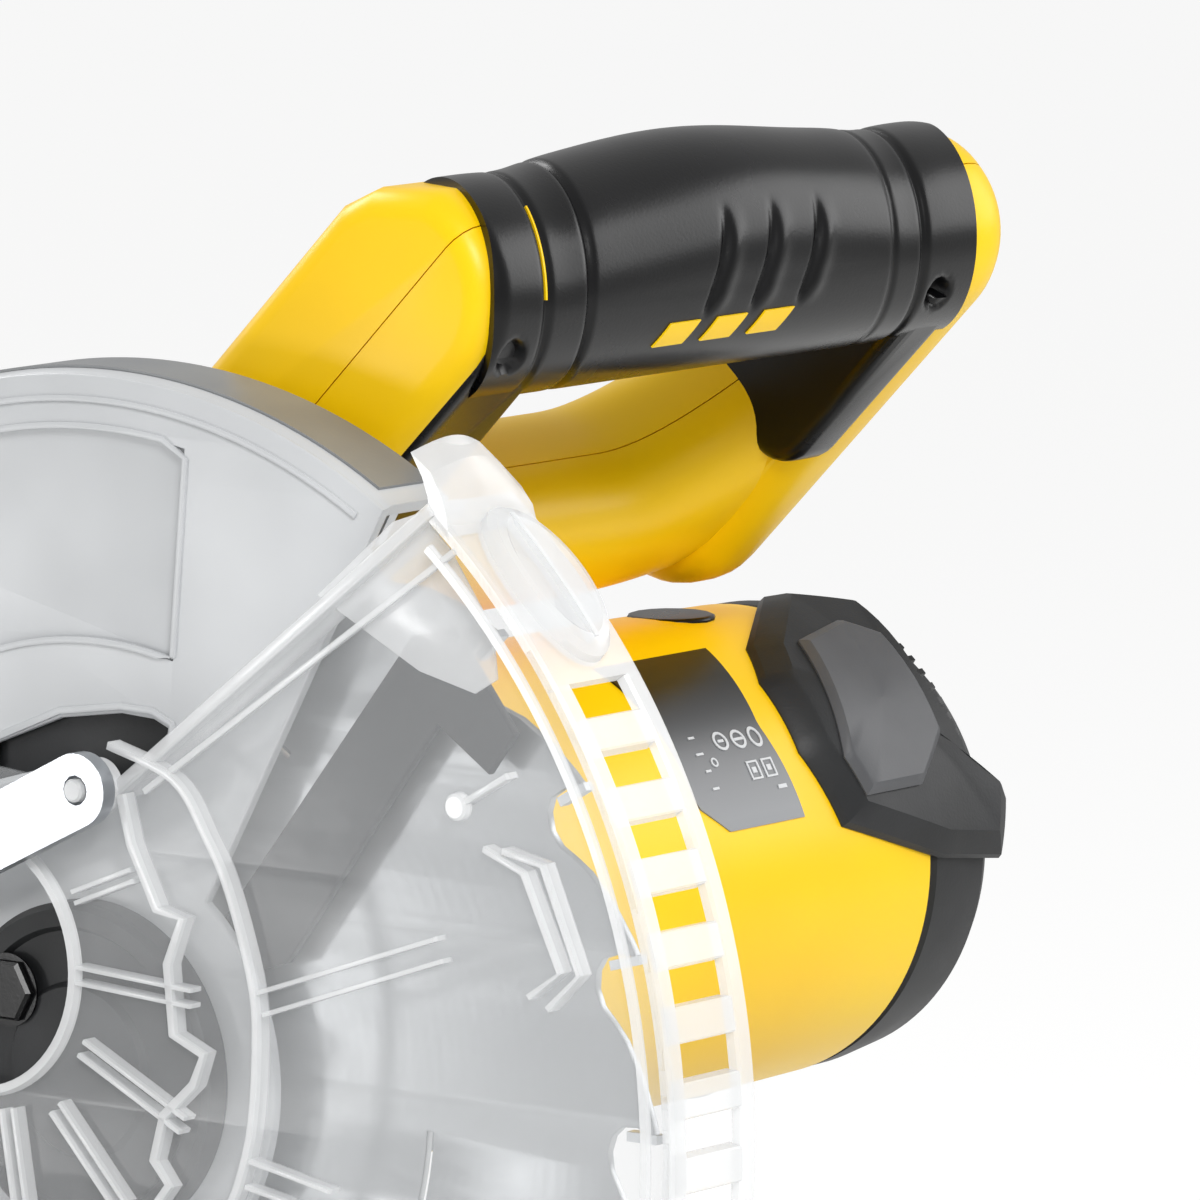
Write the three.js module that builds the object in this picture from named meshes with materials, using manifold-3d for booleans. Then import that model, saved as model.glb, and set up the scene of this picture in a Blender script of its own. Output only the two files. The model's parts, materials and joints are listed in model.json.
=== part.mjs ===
// A compound mitre saw with a 255 mm blade: base, turntable, bevel bracket and a sprung chop head.
// Millimetres, +Z up. The origin is on the bench, under the turntable's pivot. The operator stands
// on the -Y side, the blade lies in the plane X = 0 and the motor points along +X.
import * as THREE from 'three';
import { mergeVertices } from 'three/addons/utils/BufferGeometryUtils.js';
import Module from 'manifold-3d';

const wasm = await Module();
wasm.setup();

// ---------------------------------------------------------------- driving dimensions
const gap = 0.3;              // between pieces that rest on each other
const running = 0.6;          // between pieces that turn past each other

const baseLength = 480;       // along the fence
const wingFront = -75;
const wingRear = 45;
const footHeight = 8;
const wall = 6;               // of the castings
const baseDiscTop = 40;
const tableTop = 88;
const discRadius = 150;       // of the turntable
const frontArmLength = 118;
const frontArmHalf = 34;
const fenceHeight = 62;
const lowFenceHeight = 28;
const fenceThickness = 12;
const kerfFront = -138;
const kerfRear = 44;
const kerfDepth = 26;         // the deepest the blade reaches below the table, with room to spare

const bladeRadius = 127;
const bladeTeeth = 24;
const bladeThickness = 2.4;
const chopPivot = { y: 165, z: 180 };
const arbor = { y: -4, z: 330 };      // with the head raised
const pivotPin = 8;
const bevelAxisZ = tableTop;
const bevelDisc = 40;
const bracketFront = 157;
const bracketThick = 18;
const earThick = 12;
const barrelFrom = 1;         // the head's pivot barrel, along X
const barrelTo = 45;
const barrelRadius = 24;

const bladeToUpper = 5;       // from the teeth to the upper guard's outside
const upperToLower = 14;      // from there to the clear lower guard's outside
const guardFrom = -21;
const guardTo = 4;
const guardSkin = 2.4;
const guardLead = 52;         // degrees from the front, going up
const guardTail = -132;
const hubHole = { f: -20, z: 20, r: 24 };
const slotPitch = 5.4;        // degrees between the rim's slots
const slotFirst = 34;
const slotCount = 22;
const upperRadius = bladeRadius + bladeToUpper;
const guardRadius = upperRadius + upperToLower;
const upperFrom = -9;
const upperTo = 10;
const upperSkin = 2.2;
const upperLead = 46;
const upperTail = 224;
const hubCover = 32;
const portAngle = 200;        // degrees round the guard from the front, going up
const portLength = 46;
const portRoot = 10;
const portMouth = 18;

const beamRoot = 34;          // half the beam's depth at the arbor
const beamTip = 22;           // and at the chop pivot
const caseFrom = 10.6;        // the gear case, along X
const caseTo = 54;
const caseWall = 4;
const motor = { f: 5, z: 19.4 };
const motorRadius = 48;
const motorWall = 3.2;
const motorEnd = 185;
const capSide = 10;           // the end cap's straight part, before it tapers
const capEnd = 210;
const capTip = 44;
const gearTeeth = 40;
const pinionTeeth = 8;
const gearDistance = Math.hypot(motor.f, motor.z);
const gearModule = 2 * gearDistance / (gearTeeth + pinionTeeth);
const gearFrom = caseFrom + 19;       // the gear pair, along X
const gearTo = gearFrom + 12;
const spindleRadius = 8;
const shaftRadius = 5;

const gripAboveMotor = 81.6;          // from the motor's barrel up to the grip's centre line
const grip = { f: 55, z: motor.z + motorRadius + gripAboveMotor, r: 21 };
const handleFrom = 15.5;      // the D-handle's loop, along X
const handleTo = 185;
const loopDrop = 76;          // from the grip's centre line to the cross-bar's
const loopTilt = 45;          // degrees, forward of upright
const armWidth = 25;
const crossHalf = 17;
const loopHalf = 18.5;         // half the loop's thickness

const rad = THREE.MathUtils.degToRad;

// ---------------------------------------------------------------- solids
function toSolid(geometry) {
  const bare = geometry.clone();
  bare.deleteAttribute('normal');
  bare.deleteAttribute('uv');
  const merged = mergeVertices(bare, 1e-4);
  return new wasm.Manifold(new wasm.Mesh({
    numProp: 3,
    vertProperties: Float32Array.from(merged.attributes.position.array),
    triVerts: Uint32Array.from(merged.index.array),
  }));
}

function toGeometry(solid) {
  const mesh = solid.getMesh();
  const geometry = new THREE.BufferGeometry();
  geometry.setAttribute('position', new THREE.BufferAttribute(Float32Array.from(mesh.vertProperties), 3));
  geometry.setIndex(new THREE.BufferAttribute(Uint32Array.from(mesh.triVerts), 1));
  const flat = geometry.toNonIndexed();
  flat.computeVertexNormals();
  return flat;
}

function box(x0, x1, y0, y1, z0, z1) {
  const geometry = new THREE.BoxGeometry(x1 - x0, y1 - y0, z1 - z0);
  geometry.translate((x0 + x1) / 2, (y0 + y1) / 2, (z0 + z1) / 2);
  return toSolid(geometry);
}

// A round bar along X, Y or Z from one end to the other.
function bar(axis, from, to, radius, a, b, sides = 24, endRadius = radius) {
  const geometry = new THREE.CylinderGeometry(endRadius, radius, to - from, sides);
  if (axis === 'x') {
    geometry.rotateZ(-Math.PI / 2);
    geometry.translate((from + to) / 2, a, b);
  } else if (axis === 'y') {
    geometry.translate(a, (from + to) / 2, b);
  } else {
    geometry.rotateX(Math.PI / 2);
    geometry.translate(a, b, (from + to) / 2);
  }
  return toSolid(geometry);
}

// A flat shape drawn in Y and Z, given thickness along X.
function slab(shape, x0, x1, segments = 12) {
  const geometry = new THREE.ExtrudeGeometry(shape, {
    depth: x1 - x0, bevelEnabled: false, curveSegments: segments });
  const axes = new THREE.Matrix4().set(0, 0, 1, x0, 1, 0, 0, 0, 0, 1, 0, 0, 0, 0, 0, 1);
  geometry.applyMatrix4(axes);
  return toSolid(geometry);
}

// A flat shape drawn in X and Y, standing from z0 to z1.
function pad(shape, z0, z1, segments = 12) {
  const geometry = new THREE.ExtrudeGeometry(shape, {
    depth: z1 - z0, bevelEnabled: false, curveSegments: segments });
  geometry.translate(0, 0, z0);
  return toSolid(geometry);
}

function roundedRect(x0, x1, y0, y1, r) {
  const shape = new THREE.Shape();
  shape.moveTo(x0 + r, y0);
  shape.lineTo(x1 - r, y0).absarc(x1 - r, y0 + r, r, -Math.PI / 2, 0, false);
  shape.lineTo(x1, y1 - r).absarc(x1 - r, y1 - r, r, 0, Math.PI / 2, false);
  shape.lineTo(x0 + r, y1).absarc(x0 + r, y1 - r, r, Math.PI / 2, Math.PI, false);
  shape.lineTo(x0, y0 + r).absarc(x0 + r, y0 + r, r, Math.PI, 1.5 * Math.PI, false);
  return shape;
}

function circle(x, y, r) {
  return new THREE.Shape().absarc(x, y, r, 0, 2 * Math.PI, false);
}

// The outline that wraps two circles, as a belt does.
function belt(a, ra, b, rb) {
  // where one circle lies inside the other, the belt is the larger circle
  if (Math.hypot(b.x - a.x, b.y - a.y) <= Math.abs(ra - rb)) {
    return ra > rb ? circle(a.x, a.y, ra) : circle(b.x, b.y, rb);
  }
  const away = Math.atan2(b.y - a.y, b.x - a.x);
  const open = Math.acos((ra - rb) / Math.hypot(b.x - a.x, b.y - a.y));
  const shape = new THREE.Shape();
  shape.absarc(a.x, a.y, ra, away + open, away - open + 2 * Math.PI, false);
  shape.absarc(b.x, b.y, rb, away - open, away + open, false);
  return shape;
}

// A sector of a disc about the arbor. Angles are degrees from the front, going up.
function sector(inner, outer, low, high) {
  const from = Math.PI - rad(low);
  const to = Math.PI - rad(high);
  const shape = new THREE.Shape();
  shape.absarc(0, 0, outer, from, to, true);
  shape.absarc(0, 0, inner, to, from, false);
  return shape;
}

// Two loops of the same ring, one inside the other, as a shape with a hole.
function ring(x, y, outer, inner) {
  const shape = circle(x, y, outer);
  shape.holes.push(circle(x, y, inner));
  return shape;
}

// ---------------------------------------------------------------- the scene
const saw = new THREE.Group();
const head = new THREE.Group();       // its own origin is the arbor, with the head raised
head.position.set(0, arbor.y, arbor.z);
saw.add(head);

const castGrey = { color: 0x8f9396, roughness: 0.5, metalness: 0.7 };
const yellow = { color: 0xf8c800, roughness: 0.45, metalness: 0 };
const darkPlastic = { color: 0x3c3d40, roughness: 0.5, metalness: 0 };
const rubberBlack = { color: 0x1a1b1d, roughness: 0.6, metalness: 0 };
const guardGrey = { color: 0xd3d4d5, roughness: 0.4, metalness: 0 };
const clear = { color: 0xe8ecee, roughness: 0.15, metalness: 0, transparent: true, opacity: 0.4 };
const steel = { color: 0xb9bcc0, roughness: 0.3, metalness: 1 };
const copper = { color: 0xb46a3c, roughness: 0.4, metalness: 0.9 };
const red = { color: 0xb3261e, roughness: 0.4, metalness: 0 };

function place(name, solid, look, parent = saw) {
  const mesh = new THREE.Mesh(toGeometry(solid), new THREE.MeshStandardMaterial(look));
  mesh.name = name;
  parent.add(mesh);
  return mesh;
}

// ---------------------------------------------------------------- base
const footX = baseLength / 2 - 26;
const footPlaces = [
  [-footX, wingFront + 20], [-footX, wingRear - 20], [footX, wingFront + 20], [footX, wingRear - 20]];

function baseCasting() {
  const half = baseLength / 2;
  const rim = discRadius + 18;
  const wings = pad(roundedRect(-half, half, wingFront, wingRear, 12), footHeight, tableTop);
  const disc = bar('z', footHeight, baseDiscTop, rim, 0, 0, 40);
  const recess = bar('z', baseDiscTop, tableTop + 1, discRadius + 2, 0, 0, 40);
  let solid = wings.subtract(recess).add(disc);
  // cast hollow from below, with walls all round
  const hollow = roundedRect(discRadius + 2 + wall, half - wall, wingFront + wall, wingRear - wall, 8);
  const pocket = pad(hollow, footHeight - 1, tableTop - wall, 4);
  solid = solid.subtract(pocket).subtract(pocket.mirror([1, 0, 0]));
  for (const [x, y] of footPlaces) {
    solid = solid.add(bar('z', footHeight, tableTop - 1, 12, x, y, 12));
  }
  const under = bar('z', footHeight - 1, baseDiscTop - wall, rim - wall, 0, 0, 32);
  const boss = bar('z', 0, baseDiscTop, 26, 0, 0, 20);
  solid = solid.subtract(under.subtract(boss)).add(boss);
  // a blind bore takes the turntable's pivot bolt
  return solid.subtract(bar('z', 12, tableTop, pivotPin + running, 0, 0, 16));
}

place('base_casting', baseCasting(), castGrey);

footPlaces.forEach(([x, y], i) => {
  place(`foot_${i + 1}`, bar('z', 0, footHeight - gap, 14, x, y, 20, 16), rubberBlack);
});

function fence(x0, x1, tallFrom, tallTo) {
  const shape = new THREE.Shape();
  const low = tableTop + lowFenceHeight;
  const high = tableTop + fenceHeight;
  const foot = tableTop + gap;
  shape.moveTo(x0, foot);
  shape.lineTo(x1, foot);
  if (tallTo < x1) shape.lineTo(x1, low).lineTo(tallTo + 18, low);
  shape.lineTo(tallTo, high);
  shape.lineTo(tallFrom, high);
  if (tallFrom > x0) shape.lineTo(tallFrom - 18, low).lineTo(x0, low);
  shape.closePath();
  const geometry = new THREE.ExtrudeGeometry(shape, { depth: fenceThickness, bevelEnabled: false });
  geometry.rotateX(Math.PI / 2);
  geometry.translate(0, fenceThickness, 0);
  const upright = toSolid(geometry);
  // the foot that is bolted to the wing, outside the turntable
  const inner = discRadius + 8;
  const flange = x0 < 0 ? box(x0, -inner, 2, 34, foot, foot + 8) : box(inner, x1, 2, 34, foot, foot + 8);
  return upright.add(flange);
}

place('fence_left', fence(-baseLength / 2, -48, -baseLength / 2, -176), castGrey);
place('fence_right', fence(20, baseLength / 2, 20, baseLength / 2), castGrey);

function fenceBolt(x) {
  const seat = tableTop + gap + 8;
  return bar('z', seat + gap, seat + 6, 8, x, 24, 6);
}

place('fence_bolt_left', fenceBolt(-footX), steel);
place('fence_bolt_right', fenceBolt(footX), steel);

function mitreScale() {
  const shape = new THREE.Shape();
  const from = rad(-90 - 52);
  const to = rad(-90 + 52);
  shape.absarc(0, 0, discRadius + 17, from, to, false);
  shape.absarc(0, 0, discRadius + 4, to, from, true);
  return pad(shape, baseDiscTop + gap, baseDiscTop + 2.3, 10);
}

place('mitre_scale', mitreScale(), steel);

// ---------------------------------------------------------------- turntable
const armFront = -(discRadius + frontArmLength);
const discUnder = baseDiscTop + 4;
const leverPivot = { y: armFront + 20, z: discUnder - 8 };

function turntable() {
  const disc = bar('z', discUnder, tableTop, discRadius, 0, 0, 40);
  const arm = pad(roundedRect(-frontArmHalf, frontArmHalf, armFront, -discRadius + 20, 10), discUnder, 82);
  const rearBoss = box(-bevelDisc, bevelDisc, discRadius - 22, bracketFront - running, discUnder, bevelAxisZ)
    .add(bar('y', discRadius - 14, bracketFront - running, bevelDisc, 0, bevelAxisZ, 32));
  let solid = disc.add(arm).add(rearBoss);
  for (const x of [-18, 12.8]) {
    const lug = box(x, x + 5.2, leverPivot.y - 7, leverPivot.y + 7, leverPivot.z - 7, discUnder + wall);
    solid = solid.add(lug.subtract(bar('x', x - 1, x + 7, 3 + running, leverPivot.y, leverPivot.z, 12)));
  }
  // hollow below the table, round the pivot's boss
  const inside = bar('z', discUnder - 1, tableTop - wall, discRadius - wall - 16, 0, 0, 28);
  const keep = bar('z', discUnder - 2, tableTop, 22, 0, 0, 24);
  solid = solid.subtract(inside.subtract(keep));
  solid = solid.subtract(pad(
    roundedRect(-frontArmHalf + wall, frontArmHalf - wall, armFront + wall + 24, -discRadius + 6, 4),
    discUnder - 1, 82 - wall, 4));
  // the blade's clearance, and the seat of the kerf plate
  solid = solid.subtract(box(-12, 24, kerfFront, kerfRear, tableTop - kerfDepth, tableTop + 1));
  solid = solid.subtract(box(-20, 30, kerfFront - 6, kerfRear + 6, tableTop - 3.2, tableTop + 1));
  // the pivot's bolt and the bevel axis
  solid = solid.subtract(bar('z', 0, tableTop, pivotPin + running, 0, 0, 16));
  return solid.subtract(bar('y', discRadius - 30, bracketFront + 1, pivotPin + running, 0, bevelAxisZ, 20));
}

function kerfPlate() {
  const plate = box(-20 + gap, 30 - gap, kerfFront - 6 + gap, kerfRear + 6 - gap,
    tableTop - 3.2 + gap, tableTop - 0.2);
  return plate.subtract(box(-3, 8, kerfFront + 2, kerfRear - 6, 0, tableTop + 1));
}

place('kerf_plate', kerfPlate(), darkPlastic);

// The bolt's head sits in the blade's clearance, below the deepest the blade reaches there.
function pivotBolt() {
  const seat = tableTop - kerfDepth;
  return bar('z', 13, seat + 1, pivotPin, 0, 0, 16).add(bar('z', seat + gap, seat + 6, 10, 0, 0, 6));
}

place('pivot_bolt', pivotBolt(), steel);

const knobZ = 62;
function mitreKnob() {
  const grooved = new THREE.Shape();
  const lobes = 10;
  for (let i = 0; i < lobes * 3; i += 1) {
    const angle = 2 * Math.PI * i / (lobes * 3);
    const radius = 22 + 1.6 * Math.cos(lobes * angle);
    if (i === 0) grooved.moveTo(radius, 0);
    else grooved.lineTo(radius * Math.cos(angle), radius * Math.sin(angle));
  }
  const geometry = new THREE.ExtrudeGeometry(grooved, { depth: 34, bevelEnabled: false });
  geometry.rotateX(Math.PI / 2);
  geometry.translate(0, armFront - 8, knobZ);
  return toSolid(geometry);
}

// The knob's screw runs back through the arm's front wall.
const knobScrew = bar('y', armFront - 20, armFront + 30, 5, 0, knobZ, 16);
place('mitre_knob', mitreKnob().add(knobScrew), rubberBlack);
place('turntable', turntable().subtract(bar('y', armFront - 2, armFront + 40, 5 + running, 0, knobZ, 16)),
  castGrey);

// The lever's trunnions turn in two lugs below the arm; its nose meets the base's rim.
function detentLever() {
  const y = armFront;
  const nose = -(discRadius + 18 + 4);
  const shape = new THREE.Shape();
  shape.moveTo(y - 30, discUnder - 19);
  shape.lineTo(y + 10, discUnder - 13);
  shape.lineTo(nose, discUnder - 12);
  shape.lineTo(nose, discUnder - 6);
  shape.lineTo(y + 10, discUnder - 5);
  shape.lineTo(y - 30, discUnder - 15);
  shape.closePath();
  return slab(shape, -12, 12).add(bar('x', -17, 17, 3, leverPivot.y, leverPivot.z, 12));
}

place('detent_lever', detentLever(), darkPlastic);

// ---------------------------------------------------------------- bevel bracket
const earLeft = barrelFrom - running - earThick;
const earRight = barrelTo + running + earThick;
const linkPost = { z: chopPivot.z + 117, x0: guardFrom - 14, x1: guardFrom - 9 };

const lockPinZ = chopPivot.z + 15;

function bevelBracket() {
  const y0 = bracketFront;
  const y1 = bracketFront + bracketThick;
  const disc = bar('y', y0, y1, bevelDisc, 0, bevelAxisZ, 32);
  const upright = box(earLeft, earRight, y0, y1, bevelAxisZ, chopPivot.z - barrelRadius - 4);
  let solid = disc.add(upright);
  for (const x of [earLeft, barrelTo + running]) {
    const ear = belt({ x: chopPivot.y, y: chopPivot.z }, 20, { x: y0 + 9, y: chopPivot.z - 44 }, 9);
    solid = solid.add(slab(ear, x, x + earThick));
  }
  // a post on the left for the rear end of the guard's link
  const post = belt({ x: chopPivot.y, y: linkPost.z }, 8, { x: y0 + 9, y: chopPivot.z - 40 }, 9);
  solid = solid.add(slab(post, linkPost.x0, linkPost.x1));
  solid = solid.add(box(linkPost.x0, earLeft + 2, y0, y1, chopPivot.z - 48, chopPivot.z - 30));
  solid = solid.subtract(bar('x', earLeft - 1, earRight + 1, pivotPin + gap, chopPivot.y, chopPivot.z, 20));
  solid = solid.subtract(bar('x', earLeft - 1, barrelFrom, 4 + running, chopPivot.y, lockPinZ, 12));
  return solid.subtract(bar('y', y0 - 1, y1 + 1, pivotPin + gap, 0, bevelAxisZ, 16));
}

place('bevel_bracket', bevelBracket(), castGrey);
place('chop_pivot_pin',
  bar('x', earLeft - 3, earRight + 3, pivotPin, chopPivot.y, chopPivot.z, 20), steel);
place('bevel_pivot_bolt',
  bar('y', discRadius - 20, bracketFront + bracketThick + 2, pivotPin, 0, bevelAxisZ, 20), steel);

function lockPin() {
  const out = earLeft - 11;
  return bar('x', earLeft - 2, barrelFrom - running, 4, chopPivot.y, lockPinZ, 12)
    .add(bar('x', out, earLeft - 1, 6, chopPivot.y, lockPinZ, 16));
}

place('lock_down_pin', lockPin(), rubberBlack);

const leverY = bracketFront + bracketThick + 3;
function bevelLever() {
  const hub = bar('y', leverY, leverY + 14, 13, 0, bevelAxisZ, 20);
  const arm = belt({ x: 0, y: bevelAxisZ }, 9, { x: 62, y: bevelAxisZ + 30 }, 7);
  const geometry = new THREE.ExtrudeGeometry(arm, { depth: 9, bevelEnabled: false, curveSegments: 8 });
  geometry.rotateX(Math.PI / 2);
  geometry.translate(0, leverY + 13, 0);
  return hub.add(toSolid(geometry));
}

place('bevel_lock_lever', bevelLever(), darkPlastic);

// ---------------------------------------------------------------- head casting, guards
const pivot = { y: chopPivot.y - arbor.y, z: chopPivot.z - arbor.z };   // seen from the arbor
const motorY = -motor.f;

const lockButton = { x: 30, z: 32 };
const lockSeat = motorY + Math.sqrt(motorRadius ** 2 - (lockButton.z - motor.z) ** 2);

function headArm() {
  const caseOutline = belt({ x: 0, y: 0 }, 36, { x: motorY, y: motor.z }, motorRadius);
  let solid = slab(caseOutline, caseFrom + 5, caseTo, 12);
  solid = solid.add(slab(circle(0, 0, 60), caseFrom, caseFrom + 5, 16));
  // the beam that runs back to the chop pivot, and its barrel
  const beam = belt({ x: 0, y: 0 }, beamRoot, { x: pivot.y, y: pivot.z }, beamTip);
  solid = solid.add(slab(beam, 15, 44));
  solid = solid.add(bar('x', barrelFrom, barrelTo, barrelRadius, pivot.y, pivot.z, 28));
  // the neck that carries the handle
  const neck = new THREE.Shape();
  neck.moveTo(-46, 30);
  neck.lineTo(-24, crossFoot.z - 4);
  neck.lineTo(10, crossFoot.z + 6);
  neck.lineTo(40, 20);
  neck.closePath();
  solid = solid.add(slab(neck, 18, 52));
  const loopSpace = roundedRect(handleFrom - gap, handleTo + gap, -loopDrop - crossHalf - gap, grip.r + 9, 16);
  solid = solid.subtract(loopPiece(loopSpace, -loopHalf - gap, loopHalf + 20));
  // gear chamber, open towards the motor
  const chamber = belt({ x: 0, y: 0 }, 36 - caseWall, { x: motorY, y: motor.z }, motorRadius - caseWall);
  solid = solid.subtract(slab(chamber, caseFrom + 17, caseTo + 1, 10));
  solid = solid.subtract(bar('x', 0, caseTo, 15 + gap, 0, 0, 24));
  solid = solid.subtract(bar('x', caseFrom + 9, caseTo, 9 + gap, motorY, motor.z, 20));
  solid = solid.subtract(bar('y', 20, lockSeat + 20, 4 + running, lockButton.x, lockButton.z, 12));
  return solid.subtract(bar('x', -5, 60, pivotPin + running, pivot.y, pivot.z, 20));
}

// where the handle's cross-bar crosses, seen from the arbor
const tilt = rad(loopTilt);
const crossFoot = { f: grip.f - loopDrop * Math.sin(tilt), z: grip.z - loopDrop * Math.cos(tilt) };

place('head_arm', headArm(), castGrey, head);

function chopSpring() {
  const turns = 5;
  const coil = [];
  for (let i = 0; i <= turns * 9; i += 1) {
    const angle = 2 * Math.PI * i / 9;
    const x = earRight + 6 + i * 0.5;
    coil.push(new THREE.Vector3(x, chopPivot.y + 14 * Math.cos(angle), chopPivot.z + 14 * Math.sin(angle)));
  }
  const path = new THREE.CatmullRomCurve3(coil);
  const wire = new THREE.Shape().absarc(0, 0, 1.5, 0, 2 * Math.PI, false);
  return toSolid(new THREE.ExtrudeGeometry(wire, {
    steps: turns * 9, extrudePath: path, curveSegments: 2, bevelEnabled: false }));
}

place('chop_spring', chopSpring(), steel);

function upperGuard() {
  let solid = slab(sector(0.5, upperRadius, upperLead, upperTail), upperFrom, upperTo, 18);
  const inside = slab(sector(0.4, upperRadius - upperSkin, upperLead - 30, upperTail + 30),
    upperFrom + upperSkin, upperTo + 1, 18);
  solid = solid.add(slab(circle(0, 0, 42), upperFrom, upperFrom + upperSkin, 12)).subtract(inside);
  solid = solid.subtract(slab(circle(0, 0, 22), upperFrom - 1, upperTo, 10));
  solid = solid.subtract(dustSpout(portRoot - 2.5, portRoot - 2.5, upperSkin + 3));
  // the curved opening above the hub
  return solid.subtract(slab(sector(66, 80, 86, 118), upperFrom - 1, upperFrom + upperSkin + 1, 6));
}

place('upper_guard', upperGuard(), guardGrey, head);

function coverPlate() {
  const dish = slab(circle(0, 0, hubCover), upperFrom - 6.5, upperFrom - gap, 16);
  const hollow = slab(circle(0, 0, hubCover - 3), upperFrom - 4.2, upperFrom + 1, 12);
  return dish.subtract(hollow);
}

place('hub_cover', coverPlate(), darkPlastic, head);

function coverScrew() {
  const seat = upperFrom - 6.5 - gap;
  return bar('x', seat - 2.2, seat, 7, -hubHole.f - 4, hubHole.z - 6, 8);
}

place('hub_cover_screw', coverScrew(), rubberBlack, head);

// A flared spout, square to the guard's rim, over a round hole in it.
function dustSpout(radius, endRadius, margin) {
  const from = upperRadius + gap + 0.4;
  return bar('y', from - margin, from + portLength + margin, radius, 0, 0, 24, endRadius)
    .rotate([180 - portAngle, 0, 0]);
}

function dustPort() {
  return dustSpout(portRoot, portMouth, 0).subtract(dustSpout(portRoot - 2.5, portMouth - 2.5, 1));
}

place('dust_port', dustPort(), darkPlastic, head);

// ---------------------------------------------------------------- lower guard
const edgeInner = { f: 11, z: 56 };       // the inner end of the guard's straight leading edge

function lowerGuard() {
  const lead = rad(guardLead);
  const tail = rad(guardTail);
  const wallShape = new THREE.Shape();
  wallShape.moveTo(-guardRadius * Math.cos(lead), guardRadius * Math.sin(lead));
  wallShape.absarc(0, 0, guardRadius, Math.PI - lead, Math.PI - tail, false);
  wallShape.lineTo(34, -34);
  wallShape.lineTo(48, 0);
  wallShape.lineTo(46, 40);
  wallShape.lineTo(12, 58);
  wallShape.lineTo(-edgeInner.f, edgeInner.z);
  wallShape.closePath();
  wallShape.holes.push(circle(-hubHole.f, hubHole.z, hubHole.r));
  let solid = slab(wallShape, guardFrom, guardFrom + guardSkin, 18);
  const rim = sector(guardRadius - guardSkin, guardRadius, guardTail, guardLead);
  solid = solid.add(slab(rim, guardFrom, guardTo, 18));
  for (let i = 0; i < slotCount; i += 1) {
    const angle = slotFirst - i * slotPitch;
    const slot = box(guardFrom + 7, guardTo - 6, -guardRadius - 3, -guardRadius + 6, -2.2, 2.2);
    solid = solid.subtract(slot.rotate([-angle, 0, 0]));
  }
  // the collar that turns on the hub cover
  const collar = slab(ring(0, 0, hubCover + running + 3, hubCover + running), guardFrom + 1,
    upperFrom - running, 14);
  // the link's boss and its pin
  const boss = bar('x', guardFrom - 3, guardFrom + 1, 5, -edgeInner.f, edgeInner.z, 12);
  const pin = bar('x', guardFrom - 8, guardFrom, 2.2, -edgeInner.f, edgeInner.z, 8);
  return solid.add(collar).add(boss).add(pin);
}

place('lower_guard', lowerGuard(), clear, head);

function guardLink() {
  const from = { x: -edgeInner.f, y: edgeInner.z };
  const to = { x: chopPivot.y - arbor.y, y: linkPost.z - arbor.z };
  const link = slab(belt(from, 7, to, 6), guardFrom - 7, guardFrom - 3 - running, 8);
  const eye = slab(circle(from.x, from.y, 2.2 + running), guardFrom - 8, guardFrom - 3, 6);
  return link.subtract(eye);
}

place('guard_link', guardLink(), steel, head);

// ---------------------------------------------------------------- blade and spindle
function blade() {
  const shape = new THREE.Shape();
  const step = 2 * Math.PI / bladeTeeth;
  for (let i = 0; i < bladeTeeth; i += 1) {
    const a = i * step;
    const at = (angle, radius) => [radius * Math.cos(angle), radius * Math.sin(angle)];
    if (i === 0) shape.moveTo(...at(a, bladeRadius));
    else shape.lineTo(...at(a, bladeRadius));
    shape.lineTo(...at(a + 0.01, bladeRadius - 9));
    shape.lineTo(...at(a + 0.06, bladeRadius - 14));
    shape.lineTo(...at(a + 0.12, bladeRadius - 11));
    shape.lineTo(...at(a + 0.2, bladeRadius - 3.2));
  }
  shape.closePath();
  shape.holes.push(circle(0, 0, spindleRadius + gap));
  return slab(shape, -bladeThickness / 2, bladeThickness / 2, 8);
}

place('blade', blade(), steel, head);
place('flange_inner', slab(ring(0, 0, 20, spindleRadius + gap),
  bladeThickness / 2 + gap, bladeThickness / 2 + 6, 10), steel, head);
place('flange_outer', slab(ring(0, 0, 20, spindleRadius + gap),
  -bladeThickness / 2 - 4, -bladeThickness / 2 - gap, 10), steel, head);
place('blade_bolt', bar('x', -bladeThickness / 2 - 10, -bladeThickness / 2 - 4 - gap, 10, 0, 0, 6),
  steel, head);
place('spindle', bar('x', -bladeThickness / 2 - 4, gearTo + 2, spindleRadius, 0, 0, 16), steel, head);

function bearing(x0, x1, inner, outer, y, z) {
  return slab(ring(y, z, outer, inner), x0, x1, 8);
}

place('spindle_bearing_front', bearing(caseFrom + 2, caseFrom + 13, spindleRadius + gap, 15, 0, 0),
  steel, head);

// A spur gear's outline: straight-flanked teeth, with clearance at the root and the flanks.
function gear(teeth, module, bore, x0, x1, y, z, turn) {
  const shape = new THREE.Shape();
  const step = 2 * Math.PI / teeth;
  const pitch = module * teeth / 2;
  const half = step / 4 * 0.8;
  const points = [
    [-half * 1.35, pitch - 1.2 * module], [-half * 0.55, pitch + 0.75 * module],
    [half * 0.55, pitch + 0.75 * module], [half * 1.35, pitch - 1.2 * module]];
  for (let i = 0; i < teeth; i += 1) {
    for (const [da, radius] of points) {
      const angle = turn + i * step + da;
      const x = y + radius * Math.cos(angle);
      const up = z + radius * Math.sin(angle);
      if (i === 0 && da === points[0][0]) shape.moveTo(x, up);
      else shape.lineTo(x, up);
    }
  }
  shape.closePath();
  shape.holes.push(circle(y, z, bore));
  return slab(shape, x0, x1, 12);
}

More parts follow.
